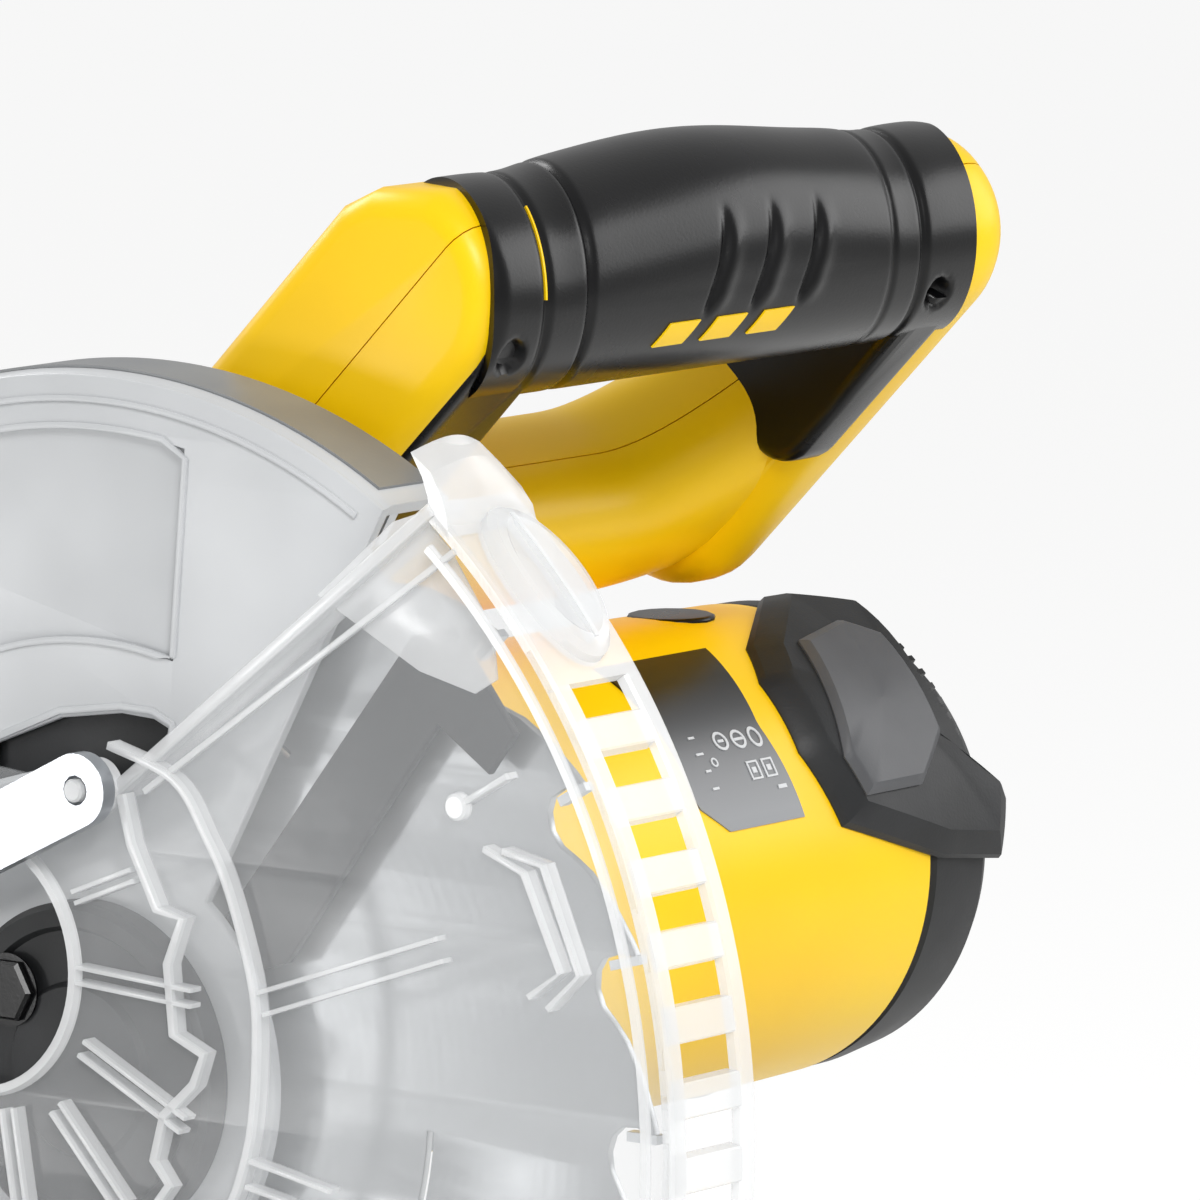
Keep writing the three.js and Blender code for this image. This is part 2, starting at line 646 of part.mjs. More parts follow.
const meshAngle = Math.atan2(motor.z, motorY);
place('drive_gear', gear(gearTeeth, gearModule, spindleRadius + gap, gearFrom, gearTo, 0, 0, meshAngle),
  steel, head);
const pinionTurn = meshAngle + Math.PI + Math.PI / pinionTeeth;
place('pinion', gear(pinionTeeth, gearModule, 1.6 + gap, gearFrom, gearTo, motorY, motor.z, pinionTurn),
  steel, head);

// ---------------------------------------------------------------- motor
const motorFrom = caseTo + gap;
place('armature_shaft', bar('x', gearFrom - 2, gearTo + 3, 1.6, motorY, motor.z, 12)
  .add(bar('x', gearTo + 2, capEnd - 13, shaftRadius, motorY, motor.z, 16)), steel, head);
place('armature_bearing_front', bearing(gearTo + 5, gearTo + 12, shaftRadius + gap, 11, motorY, motor.z),
  steel, head);
place('armature_bearing_rear', bearing(capEnd - 21, capEnd - 13, shaftRadius + gap, 11, motorY, motor.z),
  steel, head);

function fan() {
  let solid = slab(ring(motorY, motor.z, 36, shaftRadius + gap), motorFrom + 5, motorFrom + 8, 12);
  for (let i = 0; i < 7; i += 1) {
    const vane = box(motorFrom + 7.9, motorFrom + 18, -1.2, 1.2, 12, 35)
      .rotate([i * 360 / 7, 0, 0]).translate([0, motorY, motor.z]);
    solid = solid.add(vane);
  }
  return solid;
}

place('cooling_fan', fan(), darkPlastic, head);
place('armature_core', slab(ring(motorY, motor.z, 23, shaftRadius + gap), motorFrom + 32,
  motorFrom + 92, 12), copper, head);
place('commutator', slab(ring(motorY, motor.z, 13, shaftRadius + gap), motorFrom + 96,
  motorFrom + 118, 10), copper, head);
place('field_core', slab(ring(motorY, motor.z, motorRadius - motorWall - gap, 24 + running),
  motorFrom + 34, motorFrom + 90, 14), castGrey, head);

const brushX = motorFrom + 107;

function motorHousing() {
  const outer = bar('x', motorFrom, motorEnd, motorRadius, motorY, motor.z, 32);
  const inner = bar('x', motorFrom - 1, motorEnd + 1, motorRadius - motorWall, motorY, motor.z, 28);
  // one bore right across takes both brush caps
  const across = bar('z', motor.z - motorRadius - 5, motor.z + motorRadius + 5, 9 + gap, brushX, motorY, 16);
  return outer.subtract(inner).subtract(across);
}

place('motor_housing', motorHousing(), yellow, head);

let brushNumber = 1;
for (const side of [1, -1]) {
  const outerEnd = motor.z + side * (motorRadius + 0.6);
  const innerEnd = motor.z + side * (motorRadius - 12);
  const cap = bar('z', Math.min(outerEnd, innerEnd), Math.max(outerEnd, innerEnd), 9, brushX, motorY, 16);
  place(`brush_cap_${brushNumber}`, cap, rubberBlack, head);
  const tip = motor.z + side * (13 + running);
  const root = motor.z + side * (motorRadius - 12 - gap);
  const brush = box(brushX - 3, brushX + 3, motorY - 4, motorY + 4, Math.min(tip, root), Math.max(tip, root));
  place(`carbon_brush_${brushNumber}`, brush, rubberBlack, head);
  brushNumber += 1;
}

function endCap() {
  const x0 = motorEnd + gap;
  const body = bar('x', x0, x0 + capSide, motorRadius - 1, motorY, motor.z, 28)
    .add(bar('x', x0 + capSide, capEnd, motorRadius - 1, motorY, motor.z, 28, capTip));
  const inside = bar('x', x0 - 1, x0 + capSide, motorRadius - 4.2, motorY, motor.z, 24)
    .add(bar('x', x0 + capSide - 0.1, capEnd - 12, motorRadius - 4.2, motorY, motor.z, 24, capTip - 4));
  const seat = bar('x', capEnd - 22, capEnd - 11, 15, motorY, motor.z, 20)
    .subtract(bar('x', capEnd - 23, capEnd - 12, 11 + gap, motorY, motor.z, 20));
  let solid = body.subtract(inside).add(seat);
  solid = solid.add(bar('x', capEnd - 12.5, capEnd - 4, 20, motorY, motor.z, 20));
  for (let i = 0; i < 6; i += 1) {
    const vent = box(x0 + 2.5, x0 + 8.5, -1.5, 1.5, motorRadius - 8, motorRadius + 3)
      .rotate([i * 60 + 22, 0, 0]).translate([0, motorY, motor.z]);
    solid = solid.subtract(vent);
  }
  return solid;
}

place('motor_end_cap', endCap(), darkPlastic, head);

// ---------------------------------------------------------------- D-handle
// The loop is drawn flat in its own plane, across and up, and then tilted forward about X.
function loopPiece(shape, w0, w1, segments = 5) {
  const geometry = new THREE.ExtrudeGeometry(shape, {
    depth: w1 - w0, bevelEnabled: false, curveSegments: segments });
  geometry.translate(0, 0, w0);
  geometry.rotateX(Math.PI / 2 + tilt);
  geometry.translate(0, -grip.f, grip.z);
  return toSolid(geometry);
}

const gripFrom = handleFrom + armWidth;
const gripTo = handleTo - armWidth;

function handleShell(w0, w1) {
  const outer = roundedRect(handleFrom, handleTo, -loopDrop - crossHalf, grip.r, 18);
  outer.holes.push(roundedRect(gripFrom, gripTo, -loopDrop + crossHalf, -grip.r, 8));
  const loop = loopPiece(outer, w0, w1);
  const gripSpace = loopPiece(roundedRect(gripFrom, gripTo, -grip.r - 2, grip.r + 2, 1), -40, 40);
  return loop.subtract(gripSpace);
}

place('handle_shell_back', handleShell(-loopHalf, -gap / 2), yellow, head);
place('handle_shell_front', handleShell(gap / 2, loopHalf), yellow, head);

function gripSleeve() {
  const from = gripFrom + gap;
  const to = gripTo - gap;
  let solid = bar('x', from, to, grip.r, -grip.f, grip.z, 28);
  const swell = bar('x', from + 30, to - 25, grip.r + 1.5, -grip.f, grip.z, 28);
  solid = solid.add(swell);
  solid = solid.subtract(bar('x', from - 1, to + 1, grip.r - 5, -grip.f, grip.z, 24));
  return solid.subtract(triggerSpace(running, 1));
}

// The trigger sticks out of the grip's underside, towards the cross-bar.
const triggerFrom = gripFrom + 34;
const triggerTo = gripFrom + 84;
function triggerSpace(side, extra) {
  return loopPiece(roundedRect(triggerFrom - side, triggerTo + side, -grip.r - 9 - extra, 2, 4),
    -6 - side, 6 + side, 3);
}

place('trigger', loopPiece(roundedRect(triggerFrom, triggerTo, -grip.r - 9, -grip.r + 6, 4), -6, 6, 3),
  red, head);
place('switch_block', loopPiece(roundedRect(triggerFrom + 4, triggerTo - 4, -grip.r + 13, 12, 3),
  -9, 9, 4), darkPlastic, head);

// The lock-off button stands beside the trigger and is pressed the same way.
const lockOffFrom = triggerTo + 5;
function lockOff(side) {
  return loopPiece(roundedRect(lockOffFrom - side, lockOffFrom + 10 + side, -grip.r - 5 - side, -grip.r + 7, 2),
    -5 - side, 5 + side, 3);
}

place('lock_off_button', lockOff(0), red, head);
place('grip_sleeve', gripSleeve().subtract(lockOff(running)), rubberBlack, head);

// ---------------------------------------------------------------- fittings on the head
// The button that holds the spindle still while the blade is changed.
function spindleLock() {
  return bar('y', lockSeat - 3.3, lockSeat + 6, 4, lockButton.x, lockButton.z, 12)
    .add(bar('y', lockSeat + 5, lockSeat + 11, 7.5, lockButton.x, lockButton.z, 16));
}

place('spindle_lock_button', spindleLock(), rubberBlack, head);

const glandFrom = motorY + motorRadius + gap;
place('cord_gland', bar('y', glandFrom, glandFrom + 20, 9, motorEnd - 16, motor.z, 14, 6.5)
  .subtract(bar('y', glandFrom + 6, glandFrom + 21, 3.6, motorEnd - 16, motor.z, 10)), rubberBlack, head);

function ratingPlate() {
  const from = Math.PI - rad(20);
  const to = Math.PI - rad(70);
  const shape = new THREE.Shape();
  shape.absarc(motorY, motor.z, motorRadius + 1.2, from, to, true);
  shape.absarc(motorY, motor.z, motorRadius + gap, to, from, false);
  return slab(shape, 72, 149, 6);
}

place('rating_plate', ratingPlate(), darkPlastic, head);

// A grab handle that stands on the upper side of the beam.
function carryHandle() {
  const away = Math.atan2(pivot.z, pivot.y);
  const length = Math.hypot(pivot.y, pivot.z);
  const lean = away + Math.acos((beamRoot - beamTip) / length);
  const at = (along, out) => [
    beamRoot * Math.cos(lean) + along * Math.sin(lean) + out * Math.cos(lean),
    beamRoot * Math.sin(lean) - along * Math.cos(lean) + out * Math.sin(lean)];
  const shape = new THREE.Shape();
  shape.moveTo(...at(78, gap));
  shape.lineTo(...at(84, 40));
  shape.lineTo(...at(96, 50));
  shape.lineTo(...at(168, 50));
  shape.lineTo(...at(180, 40));
  shape.lineTo(...at(186, gap));
  shape.lineTo(...at(166, gap));
  shape.lineTo(...at(164, 34));
  shape.lineTo(...at(100, 34));
  shape.lineTo(...at(98, gap));
  shape.closePath();
  return slab(shape, 21, 38);
}

place('carry_handle', carryHandle(), rubberBlack, head);

export default saw;
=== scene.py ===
# %% [markdown]
# # A compound mitre saw, with its head raised
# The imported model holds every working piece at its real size. This lesson dresses it: first the camera
# and the light, then the finishes, then the pieces whose shape the eye rests on, such as the clear
# guard, the D-handle and the motor. Everything is in metres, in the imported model's own frame.

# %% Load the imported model
import json
import math

import bmesh
import bpy
from mathutils import Matrix, Vector


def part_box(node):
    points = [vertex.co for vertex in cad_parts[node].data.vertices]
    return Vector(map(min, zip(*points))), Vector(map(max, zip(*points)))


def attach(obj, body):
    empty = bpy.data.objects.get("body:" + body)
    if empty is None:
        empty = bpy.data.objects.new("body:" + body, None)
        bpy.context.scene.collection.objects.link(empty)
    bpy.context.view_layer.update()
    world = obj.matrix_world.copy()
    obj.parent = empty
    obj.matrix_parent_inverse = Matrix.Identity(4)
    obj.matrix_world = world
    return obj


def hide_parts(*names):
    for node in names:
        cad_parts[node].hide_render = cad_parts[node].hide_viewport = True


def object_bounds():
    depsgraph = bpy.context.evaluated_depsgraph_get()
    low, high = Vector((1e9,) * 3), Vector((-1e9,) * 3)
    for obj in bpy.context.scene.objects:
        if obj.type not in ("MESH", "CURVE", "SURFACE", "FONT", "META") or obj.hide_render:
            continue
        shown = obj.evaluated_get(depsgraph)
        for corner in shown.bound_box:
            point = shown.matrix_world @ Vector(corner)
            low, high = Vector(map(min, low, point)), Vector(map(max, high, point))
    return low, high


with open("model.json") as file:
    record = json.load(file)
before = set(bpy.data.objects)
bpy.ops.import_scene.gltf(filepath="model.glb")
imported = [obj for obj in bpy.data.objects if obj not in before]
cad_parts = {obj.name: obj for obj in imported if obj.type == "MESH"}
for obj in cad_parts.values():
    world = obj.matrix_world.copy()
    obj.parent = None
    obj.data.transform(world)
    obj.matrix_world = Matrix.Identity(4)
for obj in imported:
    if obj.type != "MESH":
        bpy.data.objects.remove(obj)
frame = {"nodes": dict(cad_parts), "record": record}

cad_low, cad_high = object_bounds()
nodes = frame["nodes"]
print("packed nodes:", len(nodes), "box", [round(v, 3) for v in (*cad_low, *cad_high)])

# %% [markdown]
# The saw head is easiest to describe from its arbor: x towards the motor, f towards the operator and
# z up, all in millimetres. One function turns such a place into metres in the saw's own frame.

# %% Places on the head
blade_low, blade_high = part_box("blade")
ARBOR = (Vector(blade_low) + Vector(blade_high)) / 2
MM = 0.001


def on_head(x, f, z):
    return Vector((x * MM, ARBOR.y - f * MM, ARBOR.z + z * MM))


print("arbor at", [round(v, 4) for v in ARBOR])

# %% [markdown]
# The camera stands low at the operator's front left, far back with a long lens, so that lines along
# the arbor stay almost parallel. It aims at the middle of the raised head.

# %% Camera
CAMERA_FROM_ARBOR = (-1509.5, 1291.0, 359.9)     # x, f and z, in millimetres
AIM_FROM_ARBOR = (0.0, 112.9, 97.3)
camera = bpy.data.objects.new("camera", bpy.data.cameras.new("camera"))
bpy.context.collection.objects.link(camera)
camera.location = on_head(*CAMERA_FROM_ARBOR)
aim = on_head(*AIM_FROM_ARBOR) - camera.location
camera.rotation_euler = aim.to_track_quat("-Z", "Y").to_euler()
camera.data.sensor_width = 36
camera.data.lens = 319.5
camera.data.clip_end = 60
bpy.context.scene.camera = camera
print("camera", [round(v, 3) for v in camera.location])

# %% [markdown]
# Studio light is soft because its sources are large. A near-white world fills the shadows, one big
# area light stands over the operator's left shoulder as the key, and a weaker one lifts the far side.
# A small one behind the left is placed where the guard's flat wall mirrors it as a glint.
# Area lights are used rather than suns because their edges give plastic its long soft highlights.

# %% Light and floor
def srgb(code):
    """An sRGB hex colour as linear RGBA."""
    parts = [int(code[i:i + 2], 16) / 255 for i in (0, 2, 4)]
    return (*[p / 12.92 if p <= 0.04045 else ((p + 0.055) / 1.055) ** 2.4 for p in parts], 1.0)


def area_light(name, place, target, size, watts):
    lamp = bpy.data.lights.new(name, "AREA")
    lamp.size = size
    lamp.energy = watts
    holder = bpy.data.objects.new(name, lamp)
    bpy.context.collection.objects.link(holder)
    holder.location = place
    holder.rotation_euler = (Vector(target) - Vector(place)).to_track_quat("-Z", "Y").to_euler()
    holder.visible_camera = False
    return holder


bpy.context.scene.view_settings.view_transform = "Standard"
world = bpy.data.worlds.new("studio")
bpy.context.scene.world = world
world.use_nodes = True
world.node_tree.nodes["Background"].inputs["Color"].default_value = srgb("FCFCFC")
world.node_tree.nodes["Background"].inputs["Strength"].default_value = 0.55
head_middle = on_head(80, 40, 60)
area_light("key", (-1.1, -1.5, 1.7), head_middle, 0.7, 32)
area_light("fill", (1.6, -0.9, 1.0), head_middle, 1.0, 9)
area_light("rim", (0.3, 1.6, 1.5), head_middle, 0.8, 15)
area_light("glint", on_head(-914, -639, -61), on_head(-21, 85, 97), 0.16, 1.4)

floor_mesh = bpy.data.meshes.new("floor")
FLOOR_HALF = 9.0
corners = [(x * FLOOR_HALF, y * FLOOR_HALF) for x, y in ((-1, -1), (1, -1), (1, 1), (-1, 1))]
floor_mesh.from_pydata([(x, y, cad_low[2] - 0.0002) for x, y in corners], [], [(0, 1, 2, 3)])
floor = bpy.data.objects.new("floor", floor_mesh)
bpy.context.collection.objects.link(floor)

# %% [markdown]
# Finishes are node trees. One helper adds a node, sets its values and makes its links, so that each
# recipe below reads as a list of steps. `finish` starts every recipe with a Principled shader.

# %% Node helpers
def add(tree, kind, settings=None, **links):
    """Adds one node. Settings name its properties; links name its inputs: a value or an output."""
    node = tree.nodes.new(kind)
    for key, value in (settings or {}).items():
        setattr(node, key, value)
    for key, value in links.items():
        numbered = key[0] == "i" and key[1:].isdigit()
        socket = node.inputs[int(key[1:]) if numbered else key.replace("_", " ")]
        if isinstance(value, bpy.types.NodeSocket):
            tree.links.new(value, socket)
        else:
            socket.default_value = value
    return node


def finish(name, color, roughness, metallic=0.0, **more):
    material = bpy.data.materials.new(name)
    material.use_nodes = True
    tree = material.node_tree
    shader = tree.nodes["Principled BSDF"]
    shader.inputs["Base Color"].default_value = srgb(color)
    shader.inputs["Roughness"].default_value = roughness
    shader.inputs["Metallic"].default_value = metallic
    for key, value in more.items():
        shader.inputs[key.replace("_", " ")].default_value = value
    material.diffuse_color = srgb(color)
    return material, tree, shader


def grain(tree, shader, size_mm, depth_mm, detail=3.0):
    """A fine moulded or cast grain: a noise with a period in millimetres drives a bump."""
    place = add(tree, "ShaderNodeTexCoord").outputs["Object"]
    noise = add(tree, "ShaderNodeTexNoise", Vector=place, Scale=1 / (size_mm * MM), Detail=detail)
    bump = add(tree, "ShaderNodeBump", Height=noise.outputs["Fac"], Strength=1.0, Distance=depth_mm * MM)
    tree.links.new(bump.outputs["Normal"], shader.inputs["Normal"])
    return place, noise


def mottle(tree, shader, place, size_mm, dark, light, low=0.35, high=0.65):
    """Slow colour variation between two hex colours."""
    noise = add(tree, "ShaderNodeTexNoise", Vector=place, Scale=1 / (size_mm * MM), Detail=2.0)
    spread = add(tree, "ShaderNodeMapRange", Value=noise.outputs["Fac"], From_Min=low, From_Max=high)
    mix = add(tree, "ShaderNodeMix", {"data_type": "RGBA"}, i0=spread.outputs["Result"],
              i6=srgb(dark), i7=srgb(light))
    tree.links.new(mix.outputs[2], shader.inputs["Base Color"])


def rough_patches(tree, shader, place, size_mm, low, high):
    """Roughness that wanders between two values, as handling and moulding leave it."""
    noise = add(tree, "ShaderNodeTexNoise", Vector=place, Scale=1 / (size_mm * MM), Detail=4.0)
    spread = add(tree, "ShaderNodeMapRange", Value=noise.outputs["Fac"], To_Min=low, To_Max=high)
    tree.links.new(spread.outputs["Result"], shader.inputs["Roughness"])


print("helpers ready")

# %% [markdown]
# The big covers are ABS, moulded in a finely etched tool. Etching gives a satin surface: highlights
# stay broad, and only a very shallow grain shows. The yellow varies a little where the wall is thick.

# %% Yellow ABS
yellow_abs, tree, shader = finish("yellow_abs_satin", "FDCE00", 0.36, IOR=1.53, Specular_IOR_Level=0.3)
place, _ = grain(tree, shader, 0.9, 0.012)
mottle(tree, shader, place, 60, "FBC900", "FFD200")
rough_patches(tree, shader, place, 25, 0.30, 0.42)

# %% [markdown]
# The grip is a soft thermoplastic rubber, moulded over the ABS. It is black, and its skin is smooth
# with a fine bead-blasted grain, so it shines in a soft, greyish way.

# %% Black rubber
black_rubber, tree, shader = finish("black_rubber_overmould", "050506", 0.3, IOR=1.50,
                                    Specular_IOR_Level=0.32)
place, _ = grain(tree, shader, 0.7, 0.02)
mottle(tree, shader, place, 40, "040405", "08080A")
rough_patches(tree, shader, place, 18, 0.24, 0.33)

# %% [markdown]
# Glass-filled nylon makes the motor's end cap and the small dark parts. The fibres leave it matt, and
# the tool's spark-eroded texture is coarser than that of the covers.

# %% Dark nylon
dark_nylon, tree, shader = finish("dark_nylon_moulded", "1E1F20", 0.46, IOR=1.53, Specular_IOR_Level=0.35)
place, _ = grain(tree, shader, 0.6, 0.03)
mottle(tree, shader, place, 30, "1A1B1C", "232426")
rough_patches(tree, shader, place, 12, 0.42, 0.58)

grey_nylon, tree, shader = finish("grey_nylon_moulded", "4C4D50", 0.46, IOR=1.53)
place, _ = grain(tree, shader, 0.6, 0.02)
mottle(tree, shader, place, 20, "48494C", "505154")

# %% [markdown]
# Bare castings are aluminium, bead-blasted: a metal with a dull, slightly pitted skin.

# %% Cast aluminium
cast_alloy, tree, shader = finish("cast_aluminium_blasted", "A9ACAF", 0.48, 1.0)
place, _ = grain(tree, shader, 1.1, 0.06, 5.0)
mottle(tree, shader, place, 9, "A6A9AC", "ADB0B3")
rough_patches(tree, shader, place, 6, 0.45, 0.5)

# %% [markdown]
# Turned and ground steel keeps fine tool marks. A noise stretched along one axis draws them.

# %% Steel, blade steel and plated steel
def ground_steel(name, color, roughness, stretch, mark_mm, depth_mm):
    material, tree, shader = finish(name, color, roughness, 1.0)
    place = add(tree, "ShaderNodeTexCoord").outputs["Object"]
    mapping = add(tree, "ShaderNodeMapping", Vector=place, Scale=stretch)
    noise = add(tree, "ShaderNodeTexNoise", Vector=mapping.outputs["Vector"],
                Scale=1 / (mark_mm * MM), Detail=3.0)
    bump = add(tree, "ShaderNodeBump", Height=noise.outputs["Fac"], Strength=1.0, Distance=depth_mm * MM)
    tree.links.new(bump.outputs["Normal"], shader.inputs["Normal"])
    rough_patches(tree, shader, place, 9, roughness - 0.05, roughness + 0.08)
    return material


steel = ground_steel("ground_steel", "B9BCC0", 0.28, (0.1, 1, 1), 0.8, 0.01)
scale_steel = ground_steel("etched_steel_scale", "C9CBCE", 0.35, (1, 1, 1), 0.9, 0.01)

# %% [markdown]
# The saw blade is ground on both faces while it spins, so its marks are circles about the arbor.
# A wave texture in rings, centred on the arbor by a Mapping node, draws them finer than a millimetre.

# %% Blade steel
blade_steel, tree, shader = finish("blade_steel_ring_ground", "C6C8CA", 0.38, 0.85)
place = add(tree, "ShaderNodeTexCoord").outputs["Object"]
centred = add(tree, "ShaderNodeMapping", Vector=place, Location=(0, -ARBOR.y, -ARBOR.z))
rings = add(tree, "ShaderNodeTexWave", {"wave_type": "RINGS", "rings_direction": "X"},
            Vector=centred.outputs["Vector"], Scale=1 / (1.4 * MM) / 6.28, Distortion=0.6, Detail=2.0)
bump = add(tree, "ShaderNodeBump", Height=rings.outputs["Fac"], Strength=0.6, Distance=0.01 * MM)
tree.links.new(bump.outputs["Normal"], shader.inputs["Normal"])
rough_patches(tree, shader, place, 14, 0.32, 0.46)

# %% [markdown]
# The upper guard is painted in a light grey; the lower one is polycarbonate, which is clear but
# slightly milky after moulding. Refraction through such thin walls hardly bends a line, so the
# guard is made of thin semi-opaque walls instead: the eye then gets the same pale veil, and ribs and
# edges look whiter because more of the plastic lies along the line of sight.

# %% Guard finishes
guard_grey, tree, shader = finish("light_grey_satin_paint", "C4C6C8", 0.34, IOR=1.5)
place, _ = grain(tree, shader, 1.6, 0.015)
mottle(tree, shader, place, 45, "BFC1C3", "CBCDCF")
# A darker copy of the guard's grey for a band laid over the rim: painted shade, standing in for the shade
# the rim is in.
rim_painted_shade_grey, tree, shader = finish("guard_grey_painted_shade", "7E8083", 0.38, IOR=1.5)
place, _ = grain(tree, shader, 1.2, 0.02)
mottle(tree, shader, place, 30, "77797C", "868889")


def polycarbonate(name, color, alpha):
    material, tree, shader = finish(name, color, 0.16, IOR=1.58, Alpha=alpha)
    place, _ = grain(tree, shader, 6.0, 0.05, 1.0)
    rough_patches(tree, shader, place, 20, 0.12, 0.24)
    return material


clear_wall = polycarbonate("milky_polycarbonate", "D8DADC", 0.17)
clear_edge = polycarbonate("milky_polycarbonate_edge", "F6F7F8", 0.5)

# %% [markdown]
# The rest are small: red nylon for the trigger, wound copper, stacked iron laminations, carbon, and
# the film of the rating plate, whose colour goes by height from grey low down to black at the top.

# %% Small finishes
red_nylon, tree, shader = finish("red_nylon", "B3261E", 0.4)
place, _ = grain(tree, shader, 0.5, 0.015)
mottle(tree, shader, place, 10, "A8221B", "BB2A21")
copper = ground_steel("wound_copper", "B46A3C", 0.35, (1, 0.1, 1), 1.2, 0.05)
iron = ground_steel("stacked_iron", "6B6D70", 0.45, (4, 0.1, 0.1), 1.0, 0.08)
carbon, tree, shader = finish("pressed_carbon", "2A2A2C", 0.6)
place, _ = grain(tree, shader, 0.4, 0.02)
mottle(tree, shader, place, 4, "232325", "303032")
FILM_LOW, FILM_HIGH = 36.0, 60.0     # heights above the arbor between which the film's colour goes from grey to black
plate_film, tree, shader = finish("rating_film_grey_to_black", "808285", 0.3)
place, _ = grain(tree, shader, 1.2, 0.006)
height = add(tree, "ShaderNodeSeparateXYZ", Vector=place)
fade = add(tree, "ShaderNodeMapRange", Value=height.outputs["Z"],
           From_Min=ARBOR.z + FILM_LOW * MM, From_Max=ARBOR.z + FILM_HIGH * MM)
mix = add(tree, "ShaderNodeMix", {"data_type": "RGBA"}, i0=fade.outputs["Result"],
          i6=srgb("7E8083"), i7=srgb("121213"))
tree.links.new(mix.outputs[2], shader.inputs["Base Color"])
mark_print, tree, shader = finish("printed_mark", "C9CBCD", 0.35)
place, _ = grain(tree, shader, 0.8, 0.004)
floor_paper, tree, shader = finish("pale_floor", "F4F4F3", 0.8)
place, _ = grain(tree, shader, 4, 0.1)
seen = add(tree, "ShaderNodeLightPath").outputs["Is Camera Ray"]
share = add(tree, "ShaderNodeMath", {"operation": "MULTIPLY"}, i0=seen, i1=0.72)
glow = add(tree, "ShaderNodeEmission", Color=srgb("FFFFFF"), Strength=1.1)
lit = add(tree, "ShaderNodeMixShader", i0=share.outputs[0], i1=shader.outputs[0], i2=glow.outputs[0])
tree.links.new(lit.outputs[0], tree.nodes["Material Output"].inputs["Surface"])
floor_mesh.materials.append(floor_paper)
print("finishes:", len(bpy.data.materials))

# %% [markdown]
# ## Shapes
# Most pieces here are flat plates, turned parts or lofts along the arbor. Three functions make those:
# a filled curve gives a plate with rounded edges, rings of points give a turned part, and a row of
# sections gives a loft. Each returns a plain mesh already in its place.

# %% Shape helpers
def clean(mesh):
    """Merges doubled points and turns every face outwards."""
    work = bmesh.new()
    work.from_mesh(mesh)
    bmesh.ops.remove_doubles(work, verts=work.verts, dist=0.000002)
    bmesh.ops.dissolve_degenerate(work, edges=work.edges, dist=0.000001)
    bmesh.ops.recalc_face_normals(work, faces=work.faces)
    work.to_mesh(mesh)
    work.free()
    return mesh


def plate(loops, x0, x1, bevel=0.0, steps=2):
    """A flat plate across X between x0 and x1 from closed outlines of (f, z) points."""
    curve = bpy.data.curves.new("outline", "CURVE")
    curve.dimensions = "2D"
    curve.fill_mode = "BOTH"
    curve.extrude = ((x1 - x0) / 2 - bevel) * MM
    curve.bevel_depth = bevel * MM
    curve.bevel_resolution = steps
    curve.offset = -bevel * MM
    for loop in loops:
        spline = curve.splines.new("POLY")
        spline.points.add(len(loop) - 1)
        for point, (f, z) in zip(spline.points, loop):
            point.co = (-f * MM, z * MM, 0, 1)
        spline.use_cyclic_u = True
    holder = bpy.data.objects.new("outline", curve)
    bpy.context.collection.objects.link(holder)
    mesh = bpy.data.meshes.new_from_object(holder.evaluated_get(bpy.context.evaluated_depsgraph_get()))
    bpy.data.objects.remove(holder)
    middle = (x0 + x1) / 2 * MM
    mesh.transform(Matrix(((0, 0, 1, middle), (1, 0, 0, ARBOR.y), (0, 1, 0, ARBOR.z), (0, 0, 0, 1))))
    return clean(mesh)


def loft(sections, closed=False):
    """Joins equal rings of (x, f, z) points, and closes the two ends unless the loft is a loop."""
    count = len(sections[0])
    points = [on_head(*p) for section in sections for p in section]
    faces = []
    rows = len(sections)
    for row in range(rows if closed else rows - 1):
        nxt = (row + 1) % rows
        for i in range(count):
            j = (i + 1) % count
            faces.append((row * count + i, row * count + j, nxt * count + j, nxt * count + i))
    if not closed:
        faces.append(tuple(range(count)))
        faces.append(tuple((rows - 1) * count + i for i in range(count)))
    mesh = bpy.data.meshes.new("loft")
    mesh.from_pydata(points, [], faces)
    return clean(mesh)


def polar(radius, degrees, f0=0.0, z0=0.0):
    """A place at an angle from the front, going up, about a centre."""
    return f0 + radius * math.cos(math.radians(degrees)), z0 + radius * math.sin(math.radians(degrees))


def arc(radius, low, high, steps, f0=0.0, z0=0.0):
    return [polar(radius, low + (high - low) * i / steps, f0, z0) for i in range(steps + 1)]


def turned(profile, low, high, steps, f0=0.0, z0=0.0):
    """Turns a closed (x, radius) profile about the arbor's direction, right round or part of the way."""
    full = abs(high - low) >= 360
    rings = []
    for i in range(steps if full else steps + 1):
        angle = low + (high - low) * i / steps
        rings.append([(x, *polar(radius, angle, f0, z0)) for x, radius in profile])
    return loft(rings, closed=full)


def strip(points, width):
    """The outline of a narrow rib that follows a line of (f, z) points."""
    left, right = [], []
    for i, here in enumerate(points):
        before, after = Vector(points[max(i - 1, 0)]), Vector(points[min(i + 1, len(points) - 1)])
        along = (after - before).normalized()
        side = Vector((-along.y, along.x)) * width / 2
        left.append(tuple(Vector(here) + side))
        right.append(tuple(Vector(here) - side))
    return left + right[::-1]


def joined(meshes):
    work = bmesh.new()
    for mesh in meshes:
        work.from_mesh(mesh)
        bpy.data.meshes.remove(mesh)
    whole = bpy.data.meshes.new("joined")
    work.to_mesh(whole)
    work.free()
    return whole


def boolean(mesh, cutter, operation, solver="MANIFOLD"):
    """Joins, cuts or keeps what two closed meshes share."""
    first, second = (bpy.data.objects.new(n, m) for n, m in (("first", mesh), ("second", cutter)))
    for holder in (first, second):
        bpy.context.collection.objects.link(holder)
    step = first.modifiers.new("boolean", "BOOLEAN")
    step.operation, step.object, step.solver = operation, second, solver
    result = bpy.data.meshes.new_from_object(first.evaluated_get(bpy.context.evaluated_depsgraph_get()))
    bpy.data.objects.remove(first)
    bpy.data.objects.remove(second)
    return result


